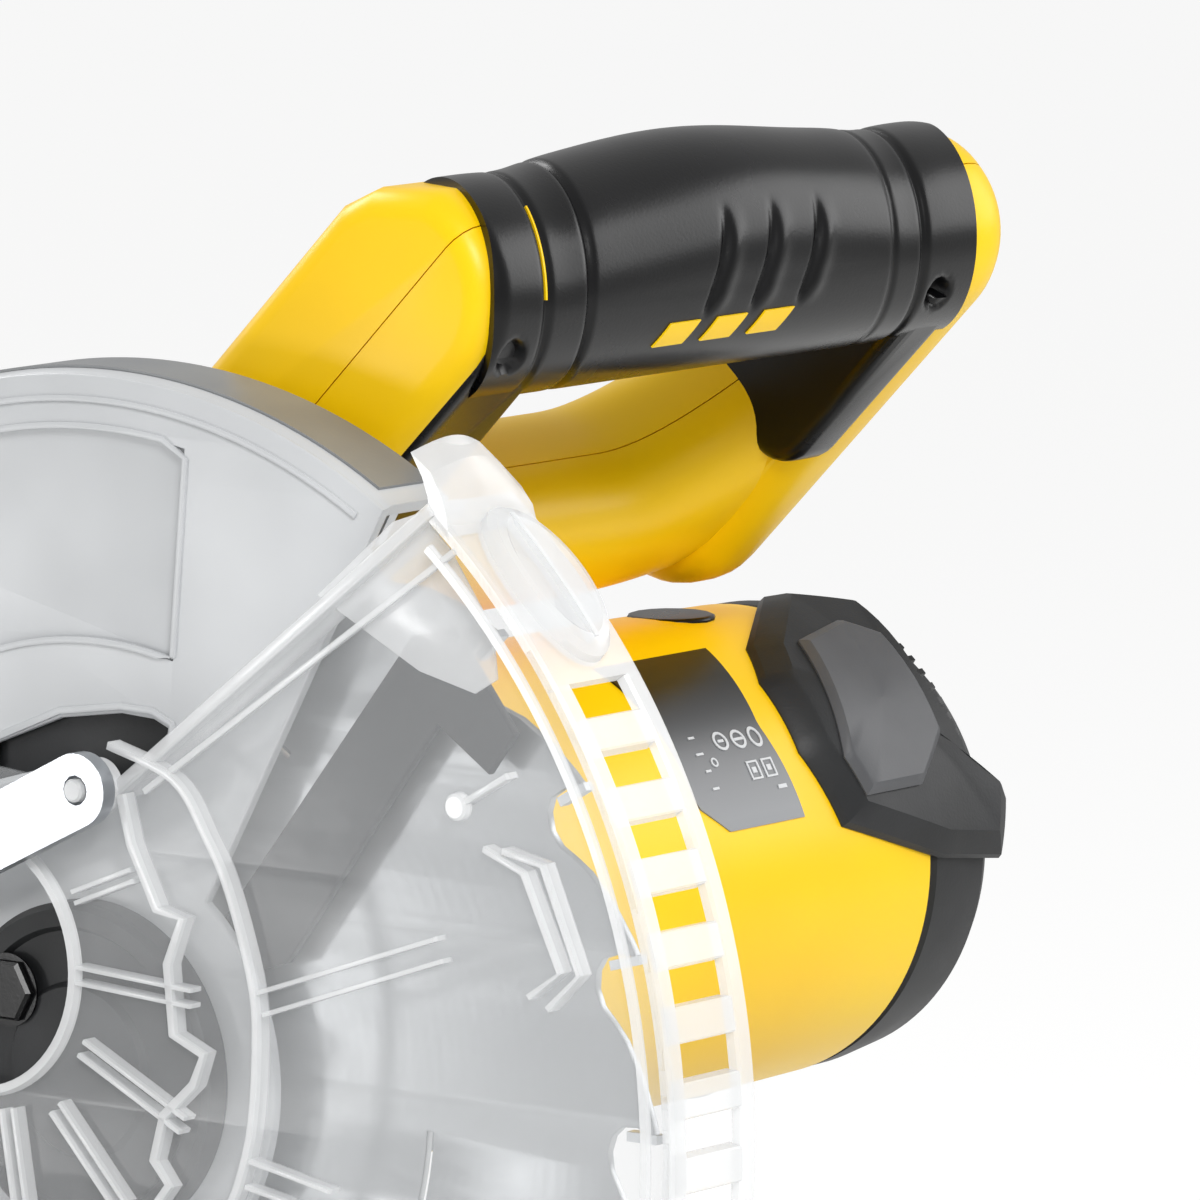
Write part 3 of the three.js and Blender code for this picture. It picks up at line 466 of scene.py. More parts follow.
def piece(name, mesh, material, body, slot, *replaced, smooth=32):
    """Makes a finished piece: one finish, smooth faces with sharp corners and its body; the slot is not
    used.
    """
    mesh.materials.clear()
    mesh.materials.append(material)
    mesh.name = name
    mesh.shade_smooth()
    mesh.set_sharp_from_angle(angle=math.radians(smooth))
    made = bpy.data.objects.new(name, mesh)
    bpy.context.collection.objects.link(made)
    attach(made, body)
    if replaced:
        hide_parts(*replaced)
    print(name, len(mesh.polygons), "faces")
    return made


# %% [markdown]
# ## The D-handle
# The loop lies in a plane that leans forward. Places on it are easier to say along that plane: v up
# it and w square to it, both from the grip's centre line. The cheeks are flat plates with broad
# chamfers, and the cross-bar is a loft that flares where it meets them, so the inside corner is soft.

# %% The loop's own plane
grip_low, grip_high = (Vector(v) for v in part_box("grip_sleeve"))
GRIP_F = (ARBOR.y - (grip_low.y + grip_high.y) / 2) / MM
GRIP_Z = ((grip_low.z + grip_high.z) / 2 - ARBOR.z) / MM - 1.5
LEAN = math.radians(45)
loop_low, loop_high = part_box("handle_shell_back")
LOOP_LEFT, LOOP_RIGHT = loop_low[0] / MM, loop_high[0] / MM
CROSS_BAR = -78.5                    # v of the cross-bar's centre line
GRIP_RADIUS = 20.3


def loop_place(v, w):
    return (GRIP_F + v * math.sin(LEAN) + w * math.cos(LEAN),
            GRIP_Z + v * math.cos(LEAN) - w * math.sin(LEAN))


def loop_arc(v0, w0, radius, start, end, steps):
    """Points (v, w) on an arc in the loop's plane; 0 degrees is up the plane, and 90 is to the front."""
    return arc(radius, start, end, steps, v0, w0)


def cheek_outline(back, front):
    """The side view of an arm: straight behind, chamfered at the top, round in front."""
    points = loop_arc(-1, front - GRIP_RADIUS, GRIP_RADIUS, -28, 90, 22)
    points += [(-60, front), *loop_arc(CROSS_BAR, front - 18, 18, 90, 180, 10)]
    points += [*loop_arc(CROSS_BAR, back + 18, 18, 180, 270, 10), (-1, back), (7, back + 3)]
    return [loop_place(v, w) for v, w in points]


print("grip centre line at f", round(GRIP_F, 1), "z", round(GRIP_Z, 1))

# %% [markdown]
# The frame is three solids joined: two arms and the cross-bar. They could be modelled as one swept
# tube, but the arms are flat-sided, so plates keep their faces true. The joined solid is then cut in
# two along the loop's plane, just over a quarter of a millimetre apart, as two moulded shells are.

# %% Yellow frame of the handle
def superellipse(v0, w0, half_v, half_w, power, count):
    """A rounded section in the loop's plane, between an ellipse and a rectangle."""
    points = []
    for i in range(count):
        angle = 2 * math.pi * i / count
        c, s = math.cos(angle), math.sin(angle)
        points.append((v0 + half_v * math.copysign(abs(c) ** (2 / power), c),
                       w0 + half_w * math.copysign(abs(s) ** (2 / power), s)))
    return points


def cross_bar():
    sections = []
    for step in range(61):
        x = LOOP_LEFT + 5 + (LOOP_RIGHT - LOOP_LEFT - 10) * step / 60
        near = max(0.0, 1 - (x - LOOP_LEFT - 22) / 22)
        far = max(0.0, 1 - (LOOP_RIGHT - 22 - x) / 34)
        rise = 3 * min(near, 1) ** 2.2 + 26 * min(far, 1) ** 2.2
        section = superellipse(CROSS_BAR + rise / 2, -1, 16.8 + rise / 2, 17.5, 2.5, 56)
        sections.append([(x, *loop_place(v, w)) for v, w in section])
    return loft(sections)


NEAR_BEVEL, FAR_BEVEL = 5.5, 11
near_arm = plate([cheek_outline(-23.5, 19)], LOOP_LEFT, LOOP_LEFT + 25, NEAR_BEVEL, 3)
far_arm = plate([cheek_outline(-20, 19.5)], LOOP_RIGHT - 26, LOOP_RIGHT, FAR_BEVEL, 6)
handle = boolean(boolean(near_arm, cross_bar(), "UNION"), far_arm, "UNION")
PARTING = 0.14


def half_space(w0, w1):
    corners = [loop_place(v, w) for v, w in ((-140, w0), (-140, w1), (60, w1), (60, w0))]
    return plate([corners], LOOP_LEFT - 20, LOOP_RIGHT + 20)


handle_back = boolean(handle.copy(), half_space(-60, -PARTING), "INTERSECT")
handle_front = boolean(handle, half_space(PARTING, 60), "INTERSECT")
piece("handle_back", clean(handle_back), yellow_abs, "head", "yellow_abs", "handle_shell_back", smooth=40)
piece("handle_front", clean(handle_front), yellow_abs, "head", "yellow_abs", "handle_shell_front", smooth=40)

# %% [markdown]
# The grip is one skin of rubber. Its radius is a rule: a barrel that swells upwards in the middle,
# ring grooves at both ends that lean with the hand, two pits for the screws, and three finger grooves
# that curl down to the inlays. A dense grid of points follows that rule, so every groove is real.

# %% Grip rule
SLANT = 0.5                          # how far a ring leans: x per f
RINGS = ((42, 0.9, 1.0), (55, 0.9, 0.9), (150, 0.45, 0.8), (160, 1.0, 1.0))     # x, depth, half width
SCREW_PITS = ((33.5, -32), (167, -30))
INLAY_X = (75.0, 89.7, 104.4)
INLAY_ANGLE = -31.0
RUBBER = 0.7


def bump_at(distance, width):
    return math.exp(-(distance / width) ** 2)


def end_rounding(x):
    """How far the handle's rounded ends draw the surface in at this x."""
    near = LOOP_LEFT + NEAR_BEVEL - x
    far = x - (LOOP_RIGHT - FAR_BEVEL)
    drop = 0.0
    if near > 0:
        drop = NEAR_BEVEL - math.sqrt(max(0, NEAR_BEVEL ** 2 - min(near, NEAR_BEVEL) ** 2))
    if far > 0:
        drop = max(drop, FAR_BEVEL - math.sqrt(max(0, FAR_BEVEL ** 2 - min(far, FAR_BEVEL) ** 2)))
    return drop


def grip_radius(x, shifted, degrees):
    """The grip's radius at x, where shifted is the x of its leaning ring, and an angle from the front."""
    middle = bump_at(x - 96, 40)
    upward = max(0.0, math.sin(math.radians(degrees + 8)))
    radius = GRIP_RADIUS + RUBBER + 4.6 * middle * upward ** 1.3
    radius -= 0.8 * (bump_at(shifted - 46, 9) + bump_at(shifted - 156, 8)) * max(0.0, upward)
    for ring, depth, width in RINGS:
        radius -= depth * bump_at(shifted - ring, width)
    for pit, angle in SCREW_PITS:
        along, round_it = (shifted - pit) / 3.6, (degrees - angle) / 9.5
        radius -= 3.2 * max(0.0, min(1.0, 1.9 - 1.6 * math.hypot(along, round_it)))
    for inlay in INLAY_X:
        if -24 < degrees < 34:
            groove = inlay + 6.5 + 5.0 * math.sin(math.radians((degrees + 24) * 1.5))
            fade = min(1, (degrees + 24) / 10, (34 - degrees) / 22)
            radius -= 1.3 * fade * bump_at(x - groove, 1.1)
            radius += 0.5 * fade * bump_at(x - groove - 3.0, 2.2)
    return radius - end_rounding(x)


def grip_point(shifted, degrees, lift=0.0):
    f, z = polar(GRIP_RADIUS, degrees)
    x = shifted - SLANT * f
    f, z = polar(grip_radius(x, shifted, degrees) + lift, degrees)
    return x, GRIP_F + f, GRIP_Z + z


GRIP_START, GRIP_STOP = 27.5, 177.0
sections = []
for step in range(251):
    shifted = GRIP_START + (GRIP_STOP - GRIP_START) * step / 250
    sections.append([grip_point(shifted, 360 * i / 150 - 180) for i in range(150)])
grip_mesh = loft(sections)
print("grip points:", len(grip_mesh.vertices))

# %% [markdown]
# The rubber also runs down the inner faces of both arms. Those linings are plates a little proud of
# the yellow arms: a long one on the near arm's front edge, and a short one with a round tip opposite.

# %% Linings
def lining(points, x0, x1, bevel):
    return plate([[loop_place(v, w) for v, w in points]], x0, x1, bevel, 3)


near_lining = lining([(-2, -19.0), *loop_arc(-2, 0, 19.6, 60, 90, 6), (-60, 20.2), (-60, 6), (-30, -8)],
                     LOOP_LEFT + 3.4, LOOP_LEFT + 25.8, 2.2)
far_lining = lining([(4, -18), (4, 20.3), (-30, 20.3), *loop_arc(-42, 11.5, 8.8, 90, 180, 8),
                     *loop_arc(-42, 2, 9, 180, 235, 4), (-20, -19)], LOOP_RIGHT - 27, LOOP_RIGHT - 14, 3.0)
rubber = boolean(boolean(grip_mesh, near_lining, "UNION"), far_lining, "UNION")
piece("grip_overmould", clean(rubber), black_rubber, "head", "black_rubber", "grip_sleeve", smooth=50)

# %% [markdown]
# Three plain yellow inlays sit at the lower ends of the finger grooves. Each is a small slanted patch
# that follows the grip's own rule, lifted a third of a millimetre, with its own thickness.

# %% Inlays and the yellow ring
def sheet(place_at, rows, columns):
    """A closed sheet; place_at(layer, row, column) gives each point of its outer (0) and inner (1) layer."""
    points = [place_at(layer, row, column) for layer in (0, 1)
              for row in range(rows + 1) for column in range(columns + 1)]
    across, size = columns + 1, (rows + 1) * (columns + 1)
    faces = []
    for row in range(rows):
        for column in range(columns):
            a = row * across + column
            faces.append((a, a + 1, a + across + 1, a + across))
            faces.append((size + a, size + a + across, size + a + across + 1, size + a + 1))
    edge = list(range(across)) + [r * across + columns for r in range(1, rows + 1)]
    edge += [rows * across + c for c in range(columns - 1, -1, -1)]
    edge += [r * across for r in range(rows - 1, 0, -1)]
    faces += [(a, size + a, size + b, b) for a, b in zip(edge, edge[1:] + edge[:1])]
    mesh = bpy.data.meshes.new("sheet")
    mesh.from_pydata(points, [], faces)
    return clean(mesh)


def patch(shift_at, angle_low, angle_high, width, lift, rows=8, columns=8):
    """A thin patch on the grip, between two angles, width wide from shift_at(angle)."""
    def place_at(layer, row, column):
        angle = angle_low + (angle_high - angle_low) * row / rows
        return on_head(*grip_point(shift_at(angle) + width * column / columns, angle, (lift, -0.8)[layer]))

    return sheet(place_at, rows, columns)


inlays = []
for x in INLAY_X:
    inlays.append(patch(lambda angle, x=x: x + 8.5 - 5 + (angle - INLAY_ANGLE) * 0.28, INLAY_ANGLE - 7,
                        INLAY_ANGLE + 7, 9.2, 0.35))
inlays.append(patch(lambda angle: RINGS[0][0] - 0.25, -2, 52, 0.5, 0.45, 24, 2))
piece("grip_inlays", joined(inlays), yellow_abs, "head", "yellow_abs", smooth=50)

# %% [markdown]
# ## The motor
# The motor's barrel and its end cap are turned shapes that share one radius, so that their skins meet.
# The barrel is a plain tube that ends square. The cap's raised pad laps over its upper front.

# %% Motor barrel
barrel_low, barrel_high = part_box("motor_housing")
cap_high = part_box("motor_end_cap")[1]
MOTOR_F = (ARBOR.y - (barrel_low[1] + barrel_high[1]) / 2) / MM
MOTOR_Z = ((barrel_low[2] + barrel_high[2]) / 2 - ARBOR.z) / MM
MOTOR_RADIUS = (barrel_high[1] - barrel_low[1]) / 2 / MM
MOTOR_START, MOTOR_SPLIT, MOTOR_STOP = barrel_low[0] / MM, barrel_high[0] / MM, cap_high[0] / MM


def turned_shell(profile, steps):
    return turned(profile, 0, 360, steps, MOTOR_F, MOTOR_Z)


R = MOTOR_RADIUS
barrel = turned_shell([(MOTOR_START, R - 6), (MOTOR_START + 1.5, R - 3.5), (MOTOR_START + 6, R - 1.6),
                       (MOTOR_START + 20, R - 0.6), (MOTOR_START + 60, R + 0.4), (MOTOR_SPLIT - 30, R + 0.5),
                       (MOTOR_SPLIT - 1.2, R), (MOTOR_SPLIT, R - 1.2), (MOTOR_SPLIT, R - 4),
                       (MOTOR_START, R - 8)], 128)
piece("motor_barrel", barrel, yellow_abs, "head", "yellow_abs", "motor_housing")

# %% [markdown]
# The end cap closes the barrel with a tapered skirt. A many-sided pad stands on its upper front. It
# curves with the barrel and has wide chamfers, so it is lofted from rings of (x, angle) points.

# %% End cap and its pad
cap = turned_shell([(MOTOR_SPLIT + 0.3, R - 1.4), (MOTOR_SPLIT + 1.4, R - 0.2), (MOTOR_SPLIT + 8, R - 0.3),
                    (MOTOR_STOP - 6, R - 1.6), (MOTOR_STOP - 2, R - 4), (MOTOR_STOP, R - 8),
                    (MOTOR_STOP, 24), (MOTOR_STOP - 2, 22), (MOTOR_STOP - 2, 0.01), (MOTOR_SPLIT + 4, 0.01),
                    (MOTOR_SPLIT + 4, R - 5), (MOTOR_SPLIT + 0.3, R - 5)], 128)
PAD = ((158, 64), (186, 86), (201, 76), (196, 46), (199, 20), (209, 11), (206, -2), (186, 1),
       (155, 13), (149, 32), (151, 52))
PANEL = ((167, 58), (184, 62), (191, 56), (189, 29), (178, 19), (160, 19), (157, 28))


def motor_ring(outline, radius, shrink, steps=6):
    """A ring of places above the barrel, drawn towards the outline's middle by shrink."""
    centre = [sum(p[k] for p in outline) / len(outline) for k in (0, 1)]
    ring = []
    for i, (x, angle) in enumerate(outline):
        nx, nangle = outline[(i + 1) % len(outline)]
        for step in range(steps):
            t = step / steps
            px, pa = x + (nx - x) * t, angle + (nangle - angle) * t
            px, pa = px + (centre[0] - px) * shrink, pa + (centre[1] - pa) * shrink
            ring.append((px, *polar(radius, pa, MOTOR_F, MOTOR_Z)))
    return ring


def raised(outline, levels, steps=6):
    return loft([motor_ring(outline, R + height, shrink, steps) for height, shrink in levels])


pad = raised(PAD, ((-5, 0), (0.8, 0), (2.0, 0.03), (4.2, 0.16), (4.6, 0.19), (4.6, 0.6), (4.6, 0.985)))
panel = raised(PANEL, ((2, -0.02), (4.9, -0.02), (5.9, 0.05), (6.2, 0.09), (6.2, 0.5), (6.2, 0.985)))
piece("motor_cap", joined([cap, pad]), dark_nylon, "head", "dark_nylon", "motor_end_cap", smooth=24)
piece("motor_cap_panel", panel, grey_nylon, "head", "dark_nylon", smooth=24)
print("motor pad", len(PAD), "corners")

# %% [markdown]
# ## Copies on a circle
# Rungs, teeth tips, vents and scale marks all repeat about an axis. One Geometry Nodes tree does it:
# it places numbered points at the origin, turns each by its number times the step, puts a copy of the
# source on every point, and sets the finish. The result is frozen to a plain mesh.

# %% The tree for copies on a circle
def circle_tree():
    tree = bpy.data.node_groups.new("copies_on_a_circle", "GeometryNodeTree")
    face = tree.interface
    face.new_socket("Source", in_out="INPUT", socket_type="NodeSocketGeometry")
    for name, kind, value in (("Count", "NodeSocketInt", 8), ("First", "NodeSocketFloat", 0.0),
                              ("Step", "NodeSocketFloat", 45.0), ("Axis", "NodeSocketVector", (1, 0, 0))):
        face.new_socket(name, in_out="INPUT", socket_type=kind).default_value = value
    face.new_socket("Finish", in_out="INPUT", socket_type="NodeSocketMaterial")
    face.new_socket("Copies", in_out="OUTPUT", socket_type="NodeSocketGeometry")
    given = tree.nodes.new("NodeGroupInput").outputs
    points = add(tree, "GeometryNodePoints", Count=given["Count"])
    index = add(tree, "GeometryNodeInputIndex").outputs["Index"]
    turn = add(tree, "ShaderNodeMath", {"operation": "MULTIPLY_ADD"},
               i0=index, i1=given["Step"], i2=given["First"])
    angle = add(tree, "ShaderNodeMath", {"operation": "RADIANS"}, i0=turn.outputs[0])
    spin = add(tree, "FunctionNodeAxisAngleToRotation", Axis=given["Axis"], Angle=angle.outputs[0])
    copies = add(tree, "GeometryNodeInstanceOnPoints", Points=points.outputs[0], Instance=given["Source"],
                 Rotation=spin.outputs[0])
    real = add(tree, "GeometryNodeRealizeInstances", Geometry=copies.outputs[0])
    coated = add(tree, "GeometryNodeSetMaterial", Geometry=real.outputs[0], Material=given["Finish"])
    tree.links.new(coated.outputs[0], tree.nodes.new("NodeGroupOutput").inputs["Copies"])
    return tree


CIRCLE_TREE = circle_tree()


def copies(source, centre, material, count, first, step, axis=(1, 0, 0)):
    """Copies a mesh about an axis through centre. The source is drawn with that axis at its origin."""
    source.materials.clear()
    source.materials.append(material)
    holder = bpy.data.objects.new("copies", source)
    bpy.context.collection.objects.link(holder)
    step_on = holder.modifiers.new("copies", "NODES")
    step_on.node_group = CIRCLE_TREE
    values = {"Count": count, "First": float(first), "Step": float(step), "Axis": axis, "Finish": material}
    for item in CIRCLE_TREE.interface.items_tree:
        if item.in_out == "INPUT" and item.name in values:
            step_on[item.identifier] = values[item.name]
    result = bpy.data.meshes.new_from_object(holder.evaluated_get(bpy.context.evaluated_depsgraph_get()))
    bpy.data.objects.remove(holder)
    result.transform(Matrix.Translation(centre))
    return clean(result)


def block(x0, x1, r0, r1, half, taper=1.0):
    """A small tapered block at angle nought: x0..x1 along the axis, r0..r1 out, half either side."""
    sections = []
    for r, k in ((r0, 1.0), (r1 - 0.3, taper), (r1, taper * 0.9)):
        sections.append([(x, -r, s * half * k) for x, s in ((x0, -1), (x1, -1), (x1, 1), (x0, 1))])
    points = [tuple(c * MM for c in p) for section in sections for p in section]
    faces = [(0, 1, 2, 3), (11, 10, 9, 8)]
    for row in (0, 4):
        faces += [(row + i, row + (i + 1) % 4, row + 4 + (i + 1) % 4, row + 4 + i) for i in range(4)]
    mesh = bpy.data.meshes.new("block")
    mesh.from_pydata(points, [], faces)
    return clean(mesh)


MOTOR_CENTRE = on_head(0, MOTOR_F, MOTOR_Z)
vents = copies(block(191, 197.5, R - 2, R + 3.2, 0.9, 0.8), MOTOR_CENTRE, black_rubber, 8, -57, 4.0)
piece("motor_cap_vents", vents, black_rubber, "head", "black_rubber")

# %% [markdown]
# ## The rating plate
# The plate is a film stuck on the barrel, so it follows the barrel's skin. Its right edge leans and
# its lower left corner is cut. The marks on it are plain generic shapes: rings, squares and bars.

# %% Film on the barrel
def skin(left, right, low, high, inner, outer, rows=24, columns=16):
    """A thin curved sheet on the barrel; left and right give its edges' x at every angle."""
    def place_at(layer, row, column):
        angle = low + (high - low) * row / rows
        x0, x1 = left(angle), right(angle)
        around = polar((outer, inner)[layer], angle, MOTOR_F, MOTOR_Z)
        return on_head(x0 + (x1 - x0) * column / columns, *around)

    return sheet(place_at, rows, columns)


def right_edge(angle):
    return 141.5 + abs(angle - 41) * (6.5 / 27 if angle > 41 else 2.5 / 24)


def left_edge(angle):
    return 112.0 + 8 * max(0.0, 1 - (angle - 17) / 7)


film = skin(left_edge, right_edge, 17, 67, R + 0.3, R + 0.75)
piece("rating_film", film, plate_film, "head", "plate_film", "rating_plate")


def mark_ring(x, angle, outer, inner, squash=1.0):
    """A flat printed ring; squash makes it an oval."""
    ring_steps = 20
    points, faces = [], []
    for lift in (0.95, 0.6):
        for size in (outer, inner):
            for i in range(ring_steps):
                turn = 2 * math.pi * i / ring_steps
                along, around = size * squash * math.cos(turn), size * math.sin(turn)
                place_angle = angle + math.degrees(around / R)
                points.append(on_head(x + along, *polar(R + lift, place_angle, MOTOR_F, MOTOR_Z)))
    n = ring_steps
    for i in range(n):
        j = (i + 1) % n
        faces += [(i, j, n + j, n + i), (2 * n + i, 3 * n + i, 3 * n + j, 2 * n + j),
                  (i, 2 * n + i, 2 * n + j, j), (n + i, n + j, 3 * n + j, 3 * n + i)]
    mesh = bpy.data.meshes.new("mark")
    mesh.from_pydata(points, [], faces)
    return clean(mesh)


def mark_bar(x, angle, length, high):
    turn = math.degrees(high / 2 / R)
    return skin(lambda a: x, lambda a: x + length, angle - turn, angle + turn, R + 0.6, R + 0.95, 2, 2)


marks = [mark_ring(127.5, 38.5, 2.1, 1.5), mark_ring(133, 38.2, 2.1, 1.5),
         mark_ring(138.2, 38, 2.3, 1.6, 0.8), mark_bar(126.6, 38.5, 1.8, 0.6),
         mark_bar(131.6, 38.2, 2.8, 0.6)]
for x, angle in ((131.5, 30), (136.2, 30)):
    marks += [mark_bar(x, angle + 2.1, 3.4, 0.4), mark_bar(x, angle - 2.1, 3.4, 0.4),
              mark_bar(x, angle, 0.45, 3.4), mark_bar(x + 3, angle, 0.45, 3.4),
              mark_bar(x + 1, angle, 1.3, 1.2)]
marks += [mark_bar(138.4, 25, 2.6, 0.8), mark_ring(122.4, 33.6, 1.0, 0.6), mark_bar(118.6, 40.6, 1.8, 0.5),
          mark_bar(118.2, 36.2, 2.2, 0.5), mark_bar(118.6, 31.8, 1.6, 0.5), mark_bar(118.4, 27.4, 2.0, 0.5)]
piece("rating_marks", joined(marks), mark_print, "head", "plate_film")

# %% [markdown]
# ## The saw blade
# The blade is cut from sheet. Each tooth has a hooked face, a round gullet and a long back, so its
# outline comes from one tooth repeated by angle. Short curved slots let the rim grow when it is hot.
# The carbide tips are separate little blocks, wider than the sheet, copied about the arbor.

# %% Blade
BLADE_RADIUS = (blade_high[2] - blade_low[2]) / 2 / MM
BLADE_HALF = (blade_high[0] - blade_low[0]) / 2 / MM
TEETH = 24
TOOTH = ((0.0, 0.8), (0.5, 5.0), (0.4, 8.4), (-0.6, 10.6), (-2.2, 11.6), (-3.8, 11.0), (-5.2, 9.0),
         (-7.0, 6.6), (-10.2, 3.8), (-13.6, 1.6))     # degrees behind the tip, depth below the tip circle


def blade_loops():
    outline = []
    for tooth in range(TEETH):
        for turn, depth in TOOTH:
            outline.append(polar(BLADE_RADIUS - depth, 180 - 360 / TEETH * tooth + turn))
    loops = [outline, arc(16, 0, 352.5, 47)]
    for number in range(5):
        loops.append(strip(arc(74, -15 + 72 * number, -4 + 72 * number, 8), 1.6))
    return loops


steel_disc = plate(blade_loops(), -BLADE_HALF + 0.3, BLADE_HALF - 0.3, 0.15, 1)
tips = copies(block(-BLADE_HALF, BLADE_HALF, BLADE_RADIUS - 7, BLADE_RADIUS, 0.9), ARBOR, blade_steel, TEETH,
              -180 + 0.3, 360 / TEETH)
piece("saw_blade", joined([steel_disc, tips]), blade_steel, "blade", "blade_steel", "blade")

# %% [markdown]
# ## The upper guard
# The upper guard is a shallow pan over the blade: a flat face with a sunk panel and a curved opening,
# and a rim that turns at the edge. The face is a plate cut by a Boolean, and the rim is turned.

# %% Upper guard
UPPER_START, UPPER_STOP, UPPER_RADIUS = 58, 224, 132
upper_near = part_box("upper_guard")[0][0] / MM
upper_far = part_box("upper_guard")[1][0] / MM
face_outline = arc(UPPER_RADIUS - 0.8, UPPER_STOP, UPPER_START, 90) + arc(43, 52, -136, 48)
CURVED_OPENING = [(-26, 52), (-9, 56.8), (3.4, 55.2), (9.5, 56.8), (13.3, 59), (17, 63), (17.4, 66),
                  (14, 67.4), (6, 67.8), (-9, 65.6), (-26, 59)]
face = plate([face_outline, arc(22, 0, 350, 35), CURVED_OPENING], upper_near, upper_near + 2.4, 0.5, 2)
panel_outline = arc(121, 180, 79.5, 60) + arc(81, 76.5, 180, 50)
panel_cut = plate([panel_outline], upper_near - 1, upper_near + 1.0, 0.3, 1)
face = boolean(face, panel_cut, "DIFFERENCE")
edges = [plate([strip(line, width)], upper_near - 0.55, upper_near + 0.6, 0.25, 1) for line, width in (
    (arc(81, 180, 79, 50) + [(19.0, 79.5), (22.3, 117), polar(121.5, 82)] + arc(121.5, 84, 180, 50), 1.3),
    (arc(126.6, 60, 222, 80), 1.2),
    ([(-25, 60.4), (-9, 67.0), (6, 69.2), (14, 69), (18.8, 67), (18.6, 62.6), (14.4, 57.6), (9.5, 55.2),
      (3.4, 53.6), (-9, 55.2), (-25, 50.4)], 1.4))]
rim = turned([(upper_near, UPPER_RADIUS - 2.6), (upper_near + 0.7, UPPER_RADIUS - 0.8),
              (upper_near + 2.2, UPPER_RADIUS), (upper_far - 0.5, UPPER_RADIUS),
              (upper_far, UPPER_RADIUS - 0.5), (upper_far, UPPER_RADIUS - 2.2),
              (upper_near + 2.4, UPPER_RADIUS - 2.4)],
             UPPER_START, UPPER_STOP, 120)
piece("upper_guard_shell", joined([face, rim, *edges]), guard_grey, "head", "guard_grey", "upper_guard")
liner = plate([[(-32, 48), (-9, 52), (9, 51), (22, 57), (24, 68), (14, 73), (-9, 71), (-32, 62)]],
              upper_near + 2.7, upper_near + 3.6, 0.2, 1)
# A thin darker grey band laid over the rim, from 60 to 180 degrees, is painted shade where the rim is in
# shade.
rim_shade_band = turned([(upper_near + 3, UPPER_RADIUS + 0.05), (upper_near + 3, UPPER_RADIUS + 0.6),
               (upper_far - 1, UPPER_RADIUS + 0.6), (upper_far - 1, UPPER_RADIUS + 0.05)], 60, 180, 90)
piece("upper_guard_liner", liner, dark_nylon, "head", "dark_nylon")
piece("upper_guard_painted_rim_shade", rim_shade_band, rim_painted_shade_grey, "head", "guard_grey")

# %% [markdown]
# A dark strap shows through the clear wall. A bent strip would do as well, but it lies flat between
# the upper guard's face and the blade, so a plain bevelled plate has the same shape.

# %% Dust strap
STRAP = [(74, 88), (84, 90), (98, 72), (92, 64), (80, 72), (44, 24), (32, 20), (28, 30)]
strap = plate([STRAP], -6.4, -4.4, 0.4, 2)
piece("dust_strap", strap, dark_nylon, "head", "dark_nylon")

# %% [markdown]
# ## The clear lower guard
# The lower guard is one moulding, but light meets it in two ways: walls seen face on are nearly clear,
# and ribs, rims and edges look white. So it is made as two pieces that share the body. The wall is a
# plate with the hub's round window; the rim is two turned rings with rungs between them.

# %% Guard walls
GUARD_RADIUS = 146.0
WALL_IN, WALL_OUT = -21.0, -18.8
LEAD, TAIL = 52.0, -132.0
HUB_F, HUB_Z, HUB_WINDOW = -20.0, 20.0, 24.0
wall_outline = arc(GUARD_RADIUS - 0.4, LEAD, TAIL, 130) + arc(44, -128, -262, 30, -14, 14) + [(13.8, 54.8)]
wall = plate([wall_outline, arc(HUB_WINDOW, 0, 354, 59, HUB_F, HUB_Z)], WALL_IN, WALL_OUT, 0.5, 2)
piece("guard_wall", wall, clear_wall, "lower_guard", "clear_polycarbonate", "lower_guard")

# %% [markdown]
# The ladder rim is what the guard is known by. Its rungs are one tapered block copied every 5.4
# degrees; above them the rim is solid, with an oval bulge where the finger tab folds over the edge.

# %% Rim, rungs and tab
SLOT_FIRST, SLOT_PITCH, SLOT_COUNT, SLOT_HALF = 34.0, 5.4, 22, 1.3
SLOT_TOP = SLOT_FIRST + SLOT_HALF
SLOT_BOTTOM = SLOT_FIRST - (SLOT_COUNT - 1) * SLOT_PITCH - SLOT_HALF


def ring_between(x0, x1, low, high, thick=2.4, steps=110):
    outer = GUARD_RADIUS
    return turned([(x0, outer - thick), (x0, outer - 0.6), (x0 + 0.6, outer), (x1 - 0.6, outer),
                   (x1, outer - 0.6), (x1, outer - thick)], low, high, steps)


def arbor_bulge(x0, x1, low, high, levels):
    """An oval swelling on the rim, lofted from shrinking ovals that rise and then dip."""
    rings = []
    for height, shrink in levels:
        ring = []
        for i in range(40):
            turn = 2 * math.pi * i / 40
            x = (x0 + x1) / 2 + (x1 - x0) / 2 * shrink * math.cos(turn)
            angle = (low + high) / 2 + (high - low) / 2 * shrink * math.sin(turn)
            ring.append((x, *polar(GUARD_RADIUS + height, angle)))
        rings.append(ring)
    return loft(rings)


def finger_tab():
    """A curved lip across the rim's top end, standing out from the guard with a round far corner."""
    sections = []
    for tilt, out in ((LEAD - 0.6, 0), (LEAD + 0.4, 2.5), (LEAD + 1.6, 4.5), (LEAD + 3.4, 6.5)):
        width = 26 - 0.14 * out * out
        ring = []
        for depth in (0.0, 2.2):
            xs = [-21 + width * k / 12 for k in range(13)]
            for x in (xs if depth == 0 else xs[::-1]):
                bow = 3.0 * math.sin(math.pi * (x + 21) / max(width, 1)) * out / 7
                ring.append((x, *polar(GUARD_RADIUS - 1.5 + out + bow, tilt - depth)))
        sections.append(ring)
    return loft(sections)


